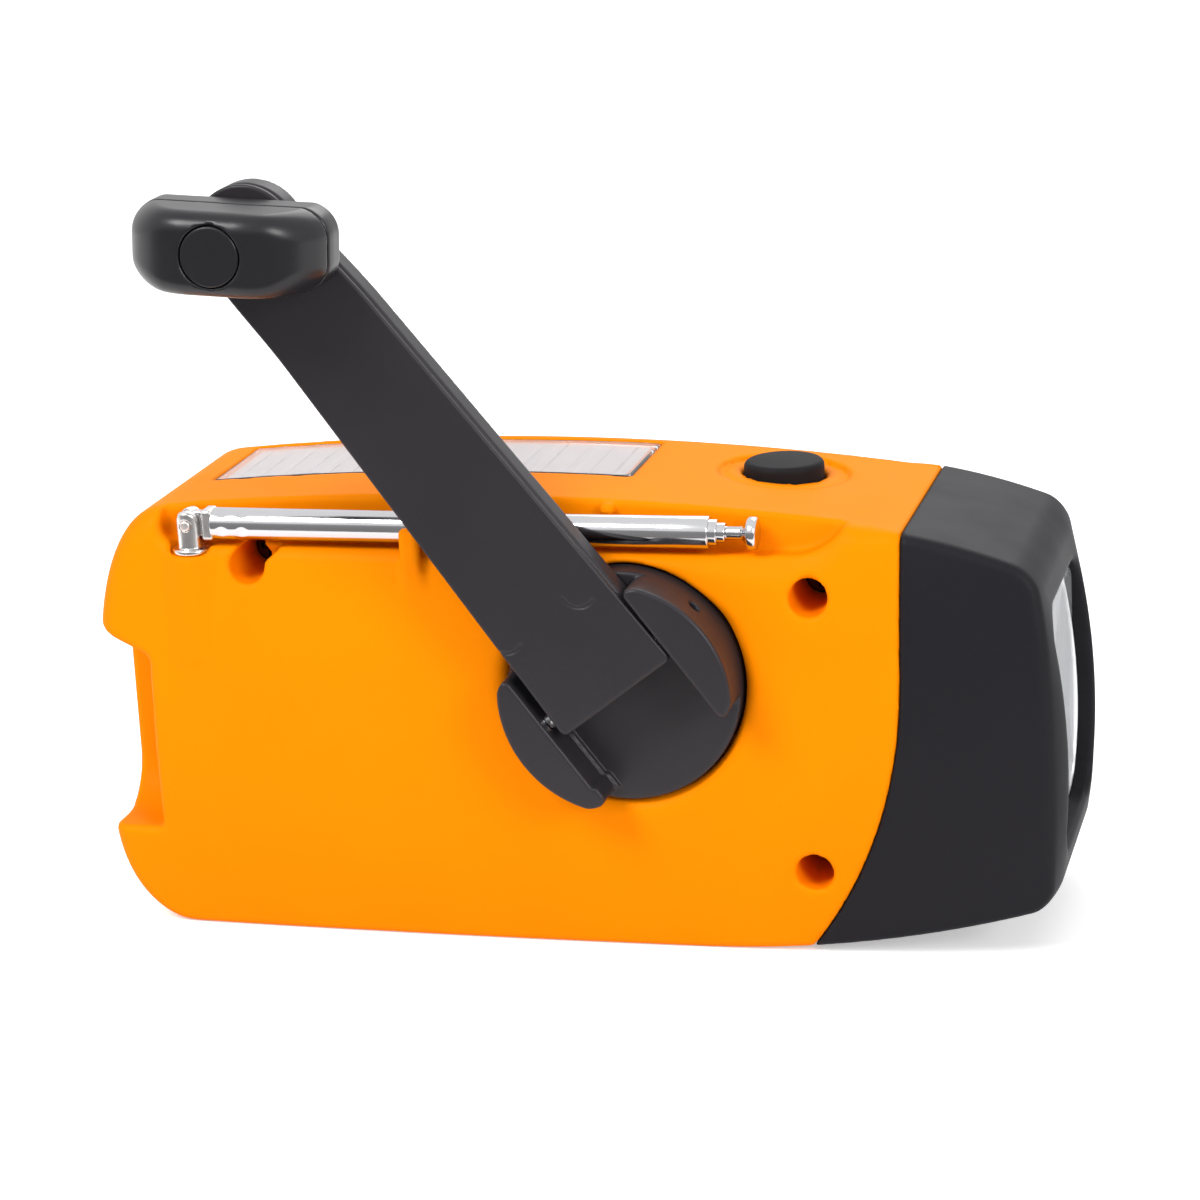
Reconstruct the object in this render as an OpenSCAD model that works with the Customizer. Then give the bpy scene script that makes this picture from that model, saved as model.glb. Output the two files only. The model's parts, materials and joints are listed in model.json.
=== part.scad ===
// Hand-cranked solar emergency radio with a lamp in its head and a telescopic antenna.
// Millimetres. +X points to the lamp head, -Y is the crank side, +Z is up.
// The origin is the middle of the flat base. The crank arm stands out as when it is used.

/* [Body] */
// Length from tail to lamp face
body_l = 124.8; // [120:0.2:130]
// Middle of that length, ahead of the middle of the base
mid_x = -0.2; // [-1:0.1:0.4]
// Height of the arched top above the base
body_h = 57.6; // [55:0.2:60]
// Thickness from crank side to speaker side
body_t = 41.6; // [40:0.2:46]
// Wall of the moulded shells
wall = 2.2; // [1.8:0.1:2.6]
// Bulge radius of the crank side, seen from the end
back_r = 130; // [110:5:200]
// Bulge radius of the speaker side, seen from the end
front_r = 400; // [350:10:500]
// Radius of the arched top, seen from the side
top_r = 440; // [300:10:800]
// Place of the highest point of the top along X
top_x = -12; // [-20:1:0]
// Radius of the underside where it rises to the head
belly_r = 140; // [120:5:200]
// Where the underside starts to rise
belly_x = 16; // [8:1:24]
// Radius of the crank side, seen from above
waist_r = 1200; // [1000:50:1600]
// Radius of the speaker side, seen from above
front_waist = 2000; // [1500:50:3000]
// Where the body is thickest, along X
waist_x = -10; // [-16:1:-6]
// Height of the rounded upper tail corner
tail_up = 20; // [16:1:21]
// Height of the rounded lower tail corner
tail_low = 15.5; // [12:0.5:17]
// Length of the upper tail corner along X
tail_run = 9; // [8:1:10]
// Length of the lower tail corner along X
tail_low_run = 10; // [8:1:13]
// Rounding of the tail, seen from above
tail_r = 5; // [3:0.5:6]
// Parting plane between the tub and the speaker side cover
split_y = 17.4; // [17:0.1:18]

/* [Lamp head] */
// Where the black head starts, on its straight upper part
head_x = 42; // [40:0.5:44]
// Height at which the head's edge starts to curve back
head_z = 36; // [30:1:40]
// Radius of that curve
head_r = 58; // [50:1:70]
// Where the top starts to fall towards the lamp
nose_x = 38; // [34:1:40]
// Radius of that fall
nose_r = 90; // [70:5:140]
// Bulge radius of the lamp face
face_r = 85; // [70:5:120]
// Height of the middle of the lamp face
face_z = 24; // [22:1:26]
// Rounding round the lamp face
face_edge = 1.5; // [1:0.1:2]
// Height of the middle of the lamp opening
lamp_z = 28.2; // [27:0.1:29]
// Width of the lamp opening
lamp_w = 28; // [24:0.5:28.5]
// Height of the lamp opening
lamp_h = 33; // [30:0.5:34]
// Corner radius of the lamp opening
lamp_r = 7; // [5:0.5:9]
// Depth of the lens below the middle of the lamp face
lens_drop = 3; // [2.6:0.1:4]
// Thickness of the lens
lens_t = 1.5; // [1:0.1:2]
// Depth of the reflector cups
cup_d = 9; // [7:0.5:10]
// Spacing of the lamps
led_step = 10.6; // [10:0.1:10.8]
// Diameter of a lamp
led_d = 5; // [4.6:0.1:5.4]
// Length of the head's tongue inside the shells
tongue = 1.1; // [0.8:0.1:1.1]

/* [Crank] */
// Hub centre along X
hub_x = 7.8; // [6:0.2:9]
// Hub centre above the base
hub_z = 35.2; // [34:0.2:35.6]
// Radius of the recess that the hub turns in
recess_r = 15.2; // [15:0.1:15.4]
// Radial gap between hub and recess
hub_gap = 0.45; // [0.3:0.05:0.6]
// Height of the hub ears above the body's bulge
ear_h = 5.6; // [5:0.1:6.4]
// Depth of the recess floor below the body's bulge
recess_d = 6.2; // [5.8:0.1:6.6]
// Length from hub centre to knob axle, arm out
arm_l = 71.7; // [66:0.1:76]
// Direction of the arm at rest, from +X towards +Z
arm_dir = 127; // [110:1:140]
// Width of the arm at the hub
arm_w = 17.4; // [16:0.2:17.6]
// Width of the arm at the knob
arm_tip_w = 13; // [11:0.2:14]
// Thickness of the arm
arm_t = 5.1; // [4.8:0.1:5.4]
// Thickness of the arm's outer cover plate
arm_cover_t = 1.4; // [1:0.1:1.5]
// Gap between the arm and the body's bulge
arm_gap = 0.4; // [0.3:0.1:0.8]
// Distance of the hinge pin from the hub centre, towards the arm
hinge_off = 2.3; // [2:0.1:2.6]
// Diameter of the hinge pin
hinge_d = 2; // [1.6:0.1:2]
// Wall from the hinge pin's centre to the square end of the arm
hinge_end = 2.4; // [2.2:0.1:2.8]
// Length of the knob grip
grip_l = 25; // [22:0.5:26]
// Height of the knob grip
grip_h = 10.2; // [9:0.1:10.6]
// Depth of the knob grip, outwards from the arm
grip_d = 12; // [11:0.2:12.4]
// Thickness of the grip's inner half
grip_back = 4.4; // [3.6:0.1:5]
// Corner radius of the knob grip
grip_r = 3.8; // [3:0.2:4.4]
// Rounding of the grip's outer ends, seen from above
grip_nose = 10; // [6:0.5:10.5]
// Rounding of the grip's long outer edges
grip_edge = 2.2; // [1.6:0.1:2.6]
// Turn of the grip on its axle at rest
grip_turn = 3.4; // [0:0.2:90]
// Diameter of the knob axle
axle_d = 4; // [3:0.2:4.4]
// Diameter of the cap that hides the axle's screw
cap_d = 7.3; // [6.4:0.1:7.6]
// Diameter of the crank shaft
shaft_d = 6; // [5:0.2:6.4]

/* [Antenna] */
// Place of the fork post along X
post_x = -49.25; // [-50:0.25:-49]
// Rod axis across the body
rod_y = -16.2; // [-16.6:0.1:-15.8]
// Rod axis above the base
rod_z = 54; // [53.8:0.1:54.4]
// Diameter of the rod
rod_d = 4.1; // [3.8:0.1:4.3]
// Length from the hinge pin to the tip
rod_l = 73.8; // [68:0.2:76]
// Floor of the rod's rabbet above the base
ledge_z = 51.2; // [51:0.1:51.5]
// Far end of the rabbet along X, where its scoop starts
scoop_x = 28.2; // [27:0.2:29]
// Radius of the scoop
scoop_r = 8.3; // [7:0.1:8.6]
// Place of the clip tab along X
tab_x = -19.2; // [-22:0.2:-16]
// Place of the nub above the rod along X
nub_x = 6; // [4:0.2:8]
// Wall of each tube
tube_wall = 0.35; // [0.3:0.05:0.4]
// Radial gap between tubes
tube_gap = 0.05; // [0.03:0.01:0.08]

/* [Top] */
// Length of the solar window
solar_l = 56.6; // [50:0.2:57]
// Width of the solar window
solar_w = 17.8; // [14:0.2:17.8]
// Tail end of the solar window
solar_x = -51.4; // [-52:0.2:-50]
// Crank side edge of the solar window
solar_y = -1.6; // [-1.8:0.2:-1]
// Thickness of the window
window_t = 1.4; // [1.2:0.1:1.6]
// Width of the ledge that carries the window
solar_ledge = 1; // [0.8:0.1:1.4]
// Thickness of the solar cell
cell_t = 1.1; // [0.8:0.1:1.2]
// Button centre along X
button_x = 23.4; // [22.6:0.2:24]
// Button centre across the body
button_y = 6.5; // [6:0.2:7]
// Button diameter
button_d = 10.6; // [9:0.2:11]
// Diameter of the dish round the button
dish_d = 16.8; // [15:0.2:17.4]
// Depth of the dish
dish_depth = 0.7; // [0.4:0.1:0.8]
// Height of the button above the top
button_h = 1.6; // [1.2:0.1:2]
// Button travel
button_travel = 1.2; // [0.8:0.1:1.2]

/* [Gears] */
// Module of the first stage
mod_a = 0.7; // [0.68:0.01:0.72]
// Teeth of the drive gear
teeth_drive = 46; // [45:1:47]
// Module of the second stage
mod_b = 0.6; // [0.58:0.01:0.62]
// Teeth of the idler's large gear
teeth_idler = 40; // [38:1:41]
// Teeth of both pinions
teeth_pinion = 12; // [12:1:13]
// Face width of a gear
gear_w = 2.8; // [2.4:0.1:3]
// Backlash at the pitch circle
backlash = 0.2; // [0.16:0.02:0.3]
// Direction from the hub to the idler
idler_dir = 190; // [187:1:193]
// Direction from the idler to the generator
gen_dir = 215; // [212:1:220]
// Diameter of the generator
gen_d = 22; // [19:0.5:22.5]
// Length of the generator
gen_l = 12; // [10:0.2:12.2]

/* [Speaker side] */
// Speaker centre along X
spk_x = -36; // [-37:0.5:-35]
// Speaker centre above the base
spk_z = 29; // [28:0.5:30]
// Speaker diameter
spk_d = 36; // [32:0.5:36.5]
// Number of grille slots
slots = 9; // [5:2:11]
// Width of a grille slot
slot_w = 1.8; // [1.2:0.1:2]
// Tuning knob along X
tune_x = 17; // [16:0.5:18]
// Tuning knob above the base
tune_z = 30; // [29:0.5:31]
// Tuning knob diameter
tune_d = 23; // [18:0.5:24]
// Volume knob along X
vol_x = -4; // [-5:0.5:-3]
// Volume knob above the base
vol_z = 17; // [16:0.5:18]
// Volume knob diameter
vol_d = 13; // [11:0.5:14]
// Height of both knobs
knob_h = 4.4; // [3.6:0.1:5]
// Band slider along X
band_x = -4; // [-5:0.5:-3]
// Band slider above the base
band_z = 40; // [39:0.5:41]
// Band slider travel to each side
band_travel = 3; // [2:0.1:3.2]

/* [Tail] */
// Near wall of the pocket that the knob folds into
pocket_x = -55.2; // [-55.6:0.1:-54.8]
// Floor of that pocket across the body
pocket_y = -7.4; // [-8:0.1:-7]
// Lower edge of the pocket
pocket_z0 = 13.6; // [13:0.1:14]
// Upper edge of the pocket at its near wall
pocket_z1 = 36.8; // [36.5:0.1:37.2]
// Rise of the upper edge towards the tail
pocket_rise = 3.4; // [0:0.2:4]
// Port cover width
port_w = 12.4; // [11.6:0.2:12.6]
// Port cover height
port_h = 21; // [20:0.5:21.5]
// Port cover thickness
port_t = 1.4; // [1.2:0.1:1.6]
// Port cover's hinge across the body
port_y = 14.9; // [14.6:0.1:15]
// Port cover centre above the base
port_z = 26; // [25.5:0.5:26.5]

/* [Fasteners and fits] */
// Diameter of the case screw counterbores
bore_d = 4.8; // [4.6:0.1:5]
// Case screws next to the head, along X
screw_x = 30.8; // [30:0.1:31]
// Upper case screw above the base
screw_top_z = 46.4; // [46:0.1:46.6]
// Lower case screw above the base
screw_low_z = 11.2; // [11:0.1:11.6]
// Tail case screw along X
screw_tail_x = -41.4; // [-42:0.1:-41]
// Tail case screw above the base
screw_tail_z = 49; // [48.6:0.1:49.2]
// Shank diameter of the case screws
screw_d = 2.2; // [2:0.1:2.3]
// Wall round a screw
boss_wall = 1.5; // [1.3:0.1:1.6]
// Running clearance round a shaft or pin
run = 0.05; // [0.03:0.01:0.08]
// Clearance between parts that slide or lie close
gap = 0.3; // [0.2:0.05:0.35]
// Thickness of the circuit boards
board_t = 1.6; // [1.2:0.1:1.6]

/* [Hidden] */
$fn = 48;
far = 200;
press_angle = 20;
x_tail = mid_x - body_l / 2;
x_nose = mid_x + body_l / 2;
mid_z = 25;
tail_ease = 0.4;
back_y = -body_t / 2;

// Crank levels, counted outwards from the body's bulge
arm_in = back_y - arm_gap;
arm_out = arm_in - arm_t;
hinge_y = (arm_in + arm_out) / 2;
ear_y = back_y - ear_h;
plate_y = back_y + gap;
floor_y = back_y + recess_d;
cup_wall = 1.6;
cup_y = floor_y + wall;
grip_in = arm_out - gap;
grip_out = grip_in - grip_d;
grip_part = grip_in - grip_back;
hub_r = recess_r - hub_gap;
ear_gap = arm_w / 2 + 0.6;

// Gear centres and levels, counted inwards from the recess cup
gear_y = cup_y + 2 * gap;
idler_y = gear_y + gear_w + gap;
plate_in = idler_y + gear_w + 2 * gap;
plate_t = 1.5;
gen_y = plate_in + plate_t;
idler_c = [hub_x, hub_z] + (mod_a * (teeth_drive + teeth_pinion) / 2) * [cos(idler_dir), sin(idler_dir)];
gen_c = idler_c + (mod_b * (teeth_idler + teeth_pinion) / 2) * [cos(gen_dir), sin(gen_dir)];
drive_r = mod_a * (teeth_drive / 2 + 1);
idler_r = mod_b * (teeth_idler / 2 + 1);
idler_axle_d = 3;
gen_shaft_d = 2;
gen_wall = 1.2;

// Posts that carry the gear plate, clear of both gears
stand_r = 3;
stands = [
    gen_c + [-3, gen_d / 2 + stand_r + 2],
    idler_c + (idler_r + stand_r + 3) * [cos(-78), sin(-78)],
    [hub_x, hub_z] + (drive_r + stand_r + 2) * [cos(-30), sin(-30)]
];
case_screws_at = [[screw_x, screw_top_z], [screw_x, screw_low_z], [screw_tail_x, screw_tail_z]];
boss_r = bore_d / 2 + boss_wall;
seat_y = -7;
head_h = 1.5;
keyhole_dir = 40;
post_end = seat_y + 1.8;
post_r = screw_d / 2 + boss_wall + 0.1;
shank_l = 10;

// Antenna levels and steps
rabbet_y = rod_y + rod_d / 2 + 0.45;
rabbet_x = post_x - 4.2;
rabbet_wall = 1.6;
post_r_fork = 1.8;
stem_r = 1.2;
tongue_t = 1.3;
tip_x = post_x + rod_l;
tip_t = 1.5;
tube_x = post_x + post_r_fork + 1.4;
tube_end = tip_x - 6;
step_l = 1;
tab_w = 2.5;
tab_t = 1.25;
tab_root = 2.9;
contact_t = 0.6;
tube_r = [for (k = [0:3]) rod_d / 2 - k * (tube_wall + tube_gap)];

// Front boards and the switch below the button
main_y = split_y - 9.4;
main_top = 44;
main_low = 9.4;
main_x0 = -13.4;
main_x1 = 26.4;
spk_face = split_y + 0.2;
button_top = top(button_x) + button_h;
switch_z = top(button_x) - 10;
dish_z = top(button_x) - dish_depth;
flange_top = top(button_x + button_d / 2 + 1) - wall - gap;
flange_h = 1;
main_posts = [[main_x0 + 3.5, 30], [main_x1 - 3.4, main_low + 3.1]];
ferrite_y = 2;
ferrite_z = 46.4;
ferrite_d = 8;
ferrite_x0 = -38;
ferrite_x1 = 10;
ferrite_ribs = [-10, 6];
coil_x = -32;
coil_l = 18;
coil_t = 1.2;
battery_x = -44;
battery_y = -11;
battery_l = 46;
battery_w = 24;
battery_h = 6;
var_w = 16;
var_gap = 2.4;

// Speaker, counted inwards from its rim
rim_t = 1.2;
basket_d = 5.2;
cone_d = 4;
dome_r = 5;
magnet_r = 9;
magnet_t = 3.4;

// Lamp levels
lens_x = x_nose - lens_drop - lens_t;
cup_x = lens_x - cup_d;
board_x = cup_x - board_t;
tongue_wall = 1.4;

// Tail ports
port_y0 = port_y - port_w - gap;
port_pad = x_tail + port_t + gap + 1.4;
port_swing = 1.2;

// Side outline of the moulded body
function drop(x, r) = x > 0 ? x * x / (2 * r) : 0;
function corner(x, run_l, h) = x < 0 ? h * (1 - sqrt(max(0, 1 - x * x / (run_l * run_l)))) : 0;
function top(x) = body_h - (x - top_x) * (x - top_x) / (2 * top_r) - drop(x - nose_x, nose_r)
    - corner(x - x_tail - tail_run, tail_run, tail_up);
function bottom(x) = drop(x - belly_x, belly_r) + corner(x - x_tail - tail_low_run, tail_low_run, tail_low);
function face(z) = x_nose - (z - face_z) * (z - face_z) / (2 * face_r);
function nose_top() = face(top(face(top(x_nose))));
function nose_low() = face(bottom(face(bottom(x_nose))));
function between(a, b, n) = [for (k = [0:n]) a + (b - a) * k / n];
function tail_xs(run_l) = [for (a = [0:12:84]) x_tail + run_l * (1 - cos(a))];
function side_points() = concat(
    [for (x = tail_xs(tail_run)) [x, top(x)]],
    [for (x = between(x_tail + tail_run, nose_x, 9)) [x, top(x)]],
    [for (x = between(nose_x + 4, nose_top() - face_edge, 4)) [x, top(x)]],
    [for (z = between(top(nose_top()) - face_edge, bottom(nose_low()) + face_edge, 8)) [face(z), z]],
    [for (x = between(nose_low() - face_edge, belly_x, 7)) [x, bottom(x)]],
    [[x_tail + tail_low_run, 0]],
    [for (k = [7:-1:0]) let(x = tail_xs(tail_low_run)[k]) [x, bottom(x)]]
);

// Both broad sides are doubly curved: a bulge of radius r, turned at radius w about an upright axis
function ring(z, r, w) = w - r + sqrt(r * r - pow(z - mid_z, 2));
function ring_y(x, z, r, w) = sqrt(pow(ring(z, r, w), 2) - pow(x - waist_x, 2)) - w;
function back(x, z) = back_y - ring_y(x, z, back_r, waist_r);
function front(x, z) = ring_y(x, z, front_r, front_waist) - back_y;
module broad_side(r, w, d, turn) {
    sweep = 2 * asin(body_l / w);
    translate([waist_x, 0, mid_z]) rotate(turn) translate([back_y + w, 0, 0]) rotate(180 - sweep / 2)
        rotate_extrude(angle = sweep, $fn = 1440) translate([w - r, 0]) circle(r - d, $fn = 360);
}
// The body's outer form, moved in by d on every side
module form(d = 0) {
    intersection() {
        xz(-far, far) offset(delta = -d) polygon(side_points());
        broad_side(back_r, waist_r, d, 90);
        broad_side(front_r, front_waist, d, -90);
        translate([0, 0, -far]) linear_extrude(2 * far) tail_plan(d);
    }
}
// Plan of the tail with its two upright edges rounded
module tail_plan(d) {
    x = x_tail + tail_r;
    y0 = back(x, mid_z) + tail_r - tail_ease;
    y1 = front(x, mid_z) - tail_r + tail_ease;
    translate([x, -far]) square([far, 2 * far]);
    translate([x_tail + d, y0]) square([far, y1 - y0]);
    for (y = [y0, y1]) translate([x, y]) circle(tail_r - d);
}

// A flat outline in X and Z made solid between two places along Y
module xz(y0, y1) {
    translate([0, y1, 0]) rotate([90, 0, 0]) linear_extrude(y1 - y0) children();
}
// A flat outline in Y and Z made solid between two places along X
module yz(x0, x1) {
    translate([x0, 0, 0]) rotate([90, 0, 90]) linear_extrude(x1 - x0) children();
}
module round_y(r, y0, y1, at) {
    xz(y0, y1) translate(at) circle(r);
}
module box(low, high) {
    translate(low) cube(high - low);
}
module rounded(w, h, r) {
    for (s = [-1, 1]) {
        translate([s * (w / 2 - r), h / 2 - r]) circle(r);
        translate([s * (w / 2 - r), r - h / 2]) circle(r);
    }
    square([w, h - 2 * r], center = true);
    square([w - 2 * r, h], center = true);
}
// Side outline of everything behind the head's edge, which lies move further on
module behind_head(move = 0) {
    translate([head_x - head_r + move, head_z]) circle(head_r, $fn = 120);
    translate([-far, head_z]) square([far + head_x + move, far]);
    translate([-far, -far]) square([far + head_x - head_r + move, 2 * far]);
}
module ahead_of_tail(move = 0) {
    difference() {
        translate([-far / 2, -far / 2]) square([far, far]);
        behind_head(move);
    }
}
module shell_side(y0, y1) {
    intersection() {
        form();
        xz(y0, y1) behind_head();
    }
}
// Cut-outs of the antenna rabbet with its scoop
module rabbet(grow = 0) {
    box([rabbet_x - grow, -far / 4, ledge_z - grow], [scoop_x, rabbet_y + grow, far / 2]);
    round_y(scoop_r + grow, -far / 4, rabbet_y + grow, [scoop_x, ledge_z + scoop_r]);
}
module pocket(grow = 0) {
    xz(-far / 4, pocket_y + grow) polygon([
        [pocket_x + grow, pocket_z0 - grow], [pocket_x + grow, pocket_z1 + grow],
        [x_tail - grow, pocket_z1 + pocket_rise + grow], [x_tail - grow, pocket_z0 - grow]
    ]);
}
module solar_area(grow = 0) {
    translate([solar_x - grow, solar_y - grow, top(solar_x) - 8])
        cube([solar_l + 2 * grow, solar_w + 2 * grow, far / 4]);
}
// Inner features that stay standing when the tub is hollowed
module tub_features() {
    rabbet(rabbet_wall);
    pocket(wall);
    round_y(recess_r + cup_wall, back_y, cup_y, [hub_x, hub_z]);
    round_y(idler_axle_d / 2 + 2, back_y, gear_y - gap, idler_c);
    for (at = case_screws_at) round_y(boss_r, back_y, post_end, at);
    for (at = stands) round_y(stand_r, back_y, plate_in, at);
    for (at = switch_posts()) translate([at[0], at[1], switch_z]) cylinder(r = 1.8, h = far / 4);
    box([x_tail, port_y0 - wall, port_z - port_h / 2 - wall],
        [port_pad, split_y, port_z + port_h / 2 + wall]);
}
function switch_posts() = [for (y = [-5, 6.4]) [button_x - 6.6, button_y + y]];

// Clip tab in front of the rod and the nub above it
module rod_clip() {
    x = [tab_x - tab_w / 2, tab_x + tab_w / 2];
    y = rod_y - rod_d / 2 - gap;
    box([x[0], y - tab_t, ledge_z - tab_root], [x[1], y, rod_z + 0.6]);
    box([x[0], y - tab_t, ledge_z - tab_root], [x[1], y + 1, ledge_z - 0.3]);
    box([nub_x - 1, rabbet_y - 0.4, top(nub_x) - 1.8], [nub_x + 1, rabbet_y + 1, top(nub_x) - 0.1]);
}

module rear_housing() color("orange") {
    tub();
    rod_clip();
}
module tub() difference() {
    shell_side(-far / 4, split_y);
    difference() {
        form(wall);
        tub_features();
    }
    rabbet();
    pocket();
    round_y(recess_r, -far / 4, floor_y, [hub_x, hub_z]);
    round_y(5, floor_y - 1, cup_y + 1, [hub_x, hub_z]);
    round_y(idler_axle_d / 2, floor_y, gear_y, idler_c);
    for (at = case_screws_at) {
        round_y(bore_d / 2, -far / 4, seat_y, at);
        round_y(screw_d / 2 + run, seat_y - 1, post_end + 1, at);
    }
    xz(-far / 4, back(screw_tail_x, screw_tail_z) + 1.1) translate([screw_tail_x, screw_tail_z])
        rotate(keyhole_dir) translate([0, -bore_d / 4]) square([bore_d, bore_d / 2]);
    for (at = stands) round_y(screw_d / 2, plate_in - 6, plate_in + 1, at);
    difference() {
        solar_area(gap / 2);
        form(window_t);
    }
    solar_area(-solar_ledge);
    translate([button_x, button_y, dish_z]) cylinder(d1 = dish_d - 2, d2 = dish_d + 2, h = 2 * dish_depth);
    translate([button_x, button_y, switch_z + 2]) cylinder(d = button_d + 2 * gap, h = far / 4);
    port_recess();
    translate([post_x, rod_y, ledge_z - rabbet_wall - 1]) cylinder(r = stem_r, h = rabbet_wall + 2);
}
module port_recess() {
    box([x_tail - 1, port_y0, port_z - port_h / 2 - gap],
        [x_tail + port_t + gap / 2, port_y + port_swing, port_z + port_h / 2 + gap]);
    yz(x_tail, port_pad + 1) translate([port_mid(), port_z + 5]) rounded(3.4, 8.6, 1);
    yz(x_tail, port_pad + 1) translate([port_mid(), port_z - 6]) circle(1.8);
}
function port_mid() = port_y - port_w / 2;

module front_cover() color("orange") difference() {
    union() {
        difference() {
            shell_side(split_y, far / 4);
            form(wall);
        }
        for (at = case_screws_at) round_y(post_r, post_end, front(at[0], at[1]) - wall / 2, at);
        for (at = main_posts) round_y(2.4, main_y + board_t, front(at[0], at[1]) - wall / 2, at);
        difference() {
            round_y(spk_d / 2 + 0.5, spk_face, front(spk_x, spk_z) - wall / 2, [spk_x, spk_z]);
            round_y(spk_d / 2 - 1.5, spk_face - 1, far / 4, [spk_x, spk_z]);
        }
        for (x = ferrite_ribs)
            box([x - 1, ferrite_y - 1.5, ferrite_z - 1],
                [x + 1, front(x, ferrite_z) - wall / 2, ferrite_z + 5]);
    }
    for (at = case_screws_at) round_y(screw_d / 2 + run, post_end - 1, seat_y + shank_l + 1, at);
    for (at = main_posts) round_y(0.9, main_y, main_y + board_t + 6, at);
    box_ferrite(run);
    for (k = [0:slots - 1]) grille_slot(k - (slots - 1) / 2);
    round_y(3, split_y - 4, far / 4, [tune_x, tune_z]);
    round_y(2.4, split_y - 4, far / 4, [vol_x, vol_z]);
    xz(split_y - 4, far / 4) translate([band_x, band_z]) rounded(2 * band_travel + 3.6, 2.6, 1.2);
}
module box_ferrite(grow) {
    translate([ferrite_x0, ferrite_y, ferrite_z]) rotate([0, 90, 0])
        cylinder(d = ferrite_d + 2 * grow, h = ferrite_x1 - ferrite_x0);
}
// Upright grille slots inside the circle of the cone
module grille_slot(k) {
    r = spk_d / 2 - 3;
    x = k * 2 * r / (slots + 0.5);
    xz(split_y - 1, far / 4) translate([spk_x + x, spk_z])
        rounded(slot_w, 2 * sqrt(r * r - x * x), 0.4 * slot_w);
}

// A strip of the side outline along the head's edge, from one distance ahead of it to another
module edge_strip(from, to) {
    xz(-far / 4, far / 4) difference() {
        ahead_of_tail(from);
        ahead_of_tail(to);
    }
}
module lamp_head() color("#38353a") difference() {
    union() {
        difference() {
            intersection() {
                form();
                xz(-far / 4, far / 4) ahead_of_tail();
            }
            form(wall);
        }
        difference() {
            union() {
                intersection() {
                    form(wall - 0.5);
                    edge_strip(0.2, 2);
                }
                intersection() {
                    form(wall + gap / 2);
                    edge_strip(-tongue, 1);
                }
            }
            form(wall + tongue_wall);
        }
    }
    yz(lens_x - 1, far) translate([0, lamp_z]) rounded(lamp_w, lamp_h, lamp_r);
}
// Outline of what lies in the lamp opening
module lamp_area() {
    translate([0, lamp_z]) rounded(lamp_w - gap, lamp_h - gap, lamp_r - gap / 2);
}
module lamp_lens() color("white", 0.4)
    yz(lens_x, lens_x + lens_t) lamp_area();
module lamp_reflector() color("silver") difference() {
    yz(cup_x, lens_x) lamp_area();
    for (k = [-1:1]) translate([cup_x, 0, lamp_z + k * led_step]) rotate([0, 90, 0]) {
        translate([0, 0, 1.5]) cylinder(d1 = led_d + 1, d2 = led_step - 0.6, h = cup_d - 1.49);
        translate([0, 0, -1]) cylinder(d = led_d + gap, h = cup_d);
    }
}
module lamp_leds() color("ivory") for (k = [-1:1])
    translate([cup_x, 0, lamp_z + k * led_step]) rotate([0, 90, 0]) rotate_extrude() intersection() {
        union() {
            translate([0, cup_d - 2 - led_d / 2]) circle(d = led_d);
            translate([-led_d / 2, 0]) square([led_d, cup_d - 2 - led_d / 2]);
        }
        square([led_d, cup_d]);
    }
module lamp_board() color("darkgreen")
    yz(board_x, cup_x) translate([0, lamp_z]) rounded(lamp_w + 3, lamp_h - 1, 3);

module solar_window() color("lightgray", 0.5) difference() {
    intersection() {
        form(0.1);
        solar_area();
    }
    form(window_t);
}
module solar_cell() color("#101838") difference() {
    intersection() {
        form(window_t + 0.05);
        solar_area(-solar_ledge - gap);
    }
    form(window_t + cell_t);
}

module case_screws() color("silver") for (at = case_screws_at) difference() {
    union() {
        round_y(bore_d / 2 - gap, seat_y - head_h, seat_y, at);
        round_y(screw_d / 2, seat_y - 0.1, seat_y + shank_l, at);
    }
    for (a = [0, 90]) xz(seat_y - head_h - 1, seat_y - head_h + 0.7) translate(at) rotate(a)
        square([2.6, 0.7], center = true);
}

// Gear outline with involute flanks
function inv_angle(rb, r) = let(a = acos(min(1, rb / r))) tan(a) * 180 / PI - a;
module gear_outline(m, n) {
    rp = m * n / 2;
    rb = rp * cos(press_angle);
    ra = rp + 0.75 * m;
    rf = rp - 1.15 * m;
    rs = max(rb, rf + 0.01);
    half_tooth = 90 / n - backlash / 4 / rp * 180 / PI + inv_angle(rb, rp);
    flank = [for (k = [0:3]) rs + (ra - rs) * k / 3];
    polygon([for (t = [0:n - 1]) each concat(
        [let(a = t * 360 / n - half_tooth + inv_angle(rb, rs)) rf * [cos(a), sin(a)]],
        [for (r = flank) let(a = t * 360 / n - half_tooth + inv_angle(rb, r)) r * [cos(a), sin(a)]],
        [for (k = [3:-1:0])
            let(r = flank[k], a = t * 360 / n + half_tooth - inv_angle(rb, r)) r * [cos(a), sin(a)]],
        [let(a = t * 360 / n + half_tooth - inv_angle(rb, rs)) rf * [cos(a), sin(a)]]
    )]);
}
module gear(m, n, y0, at, turn) {
    xz(y0, y0 + gear_w) translate(at) rotate(turn) gear_outline(m, n);
}

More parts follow.
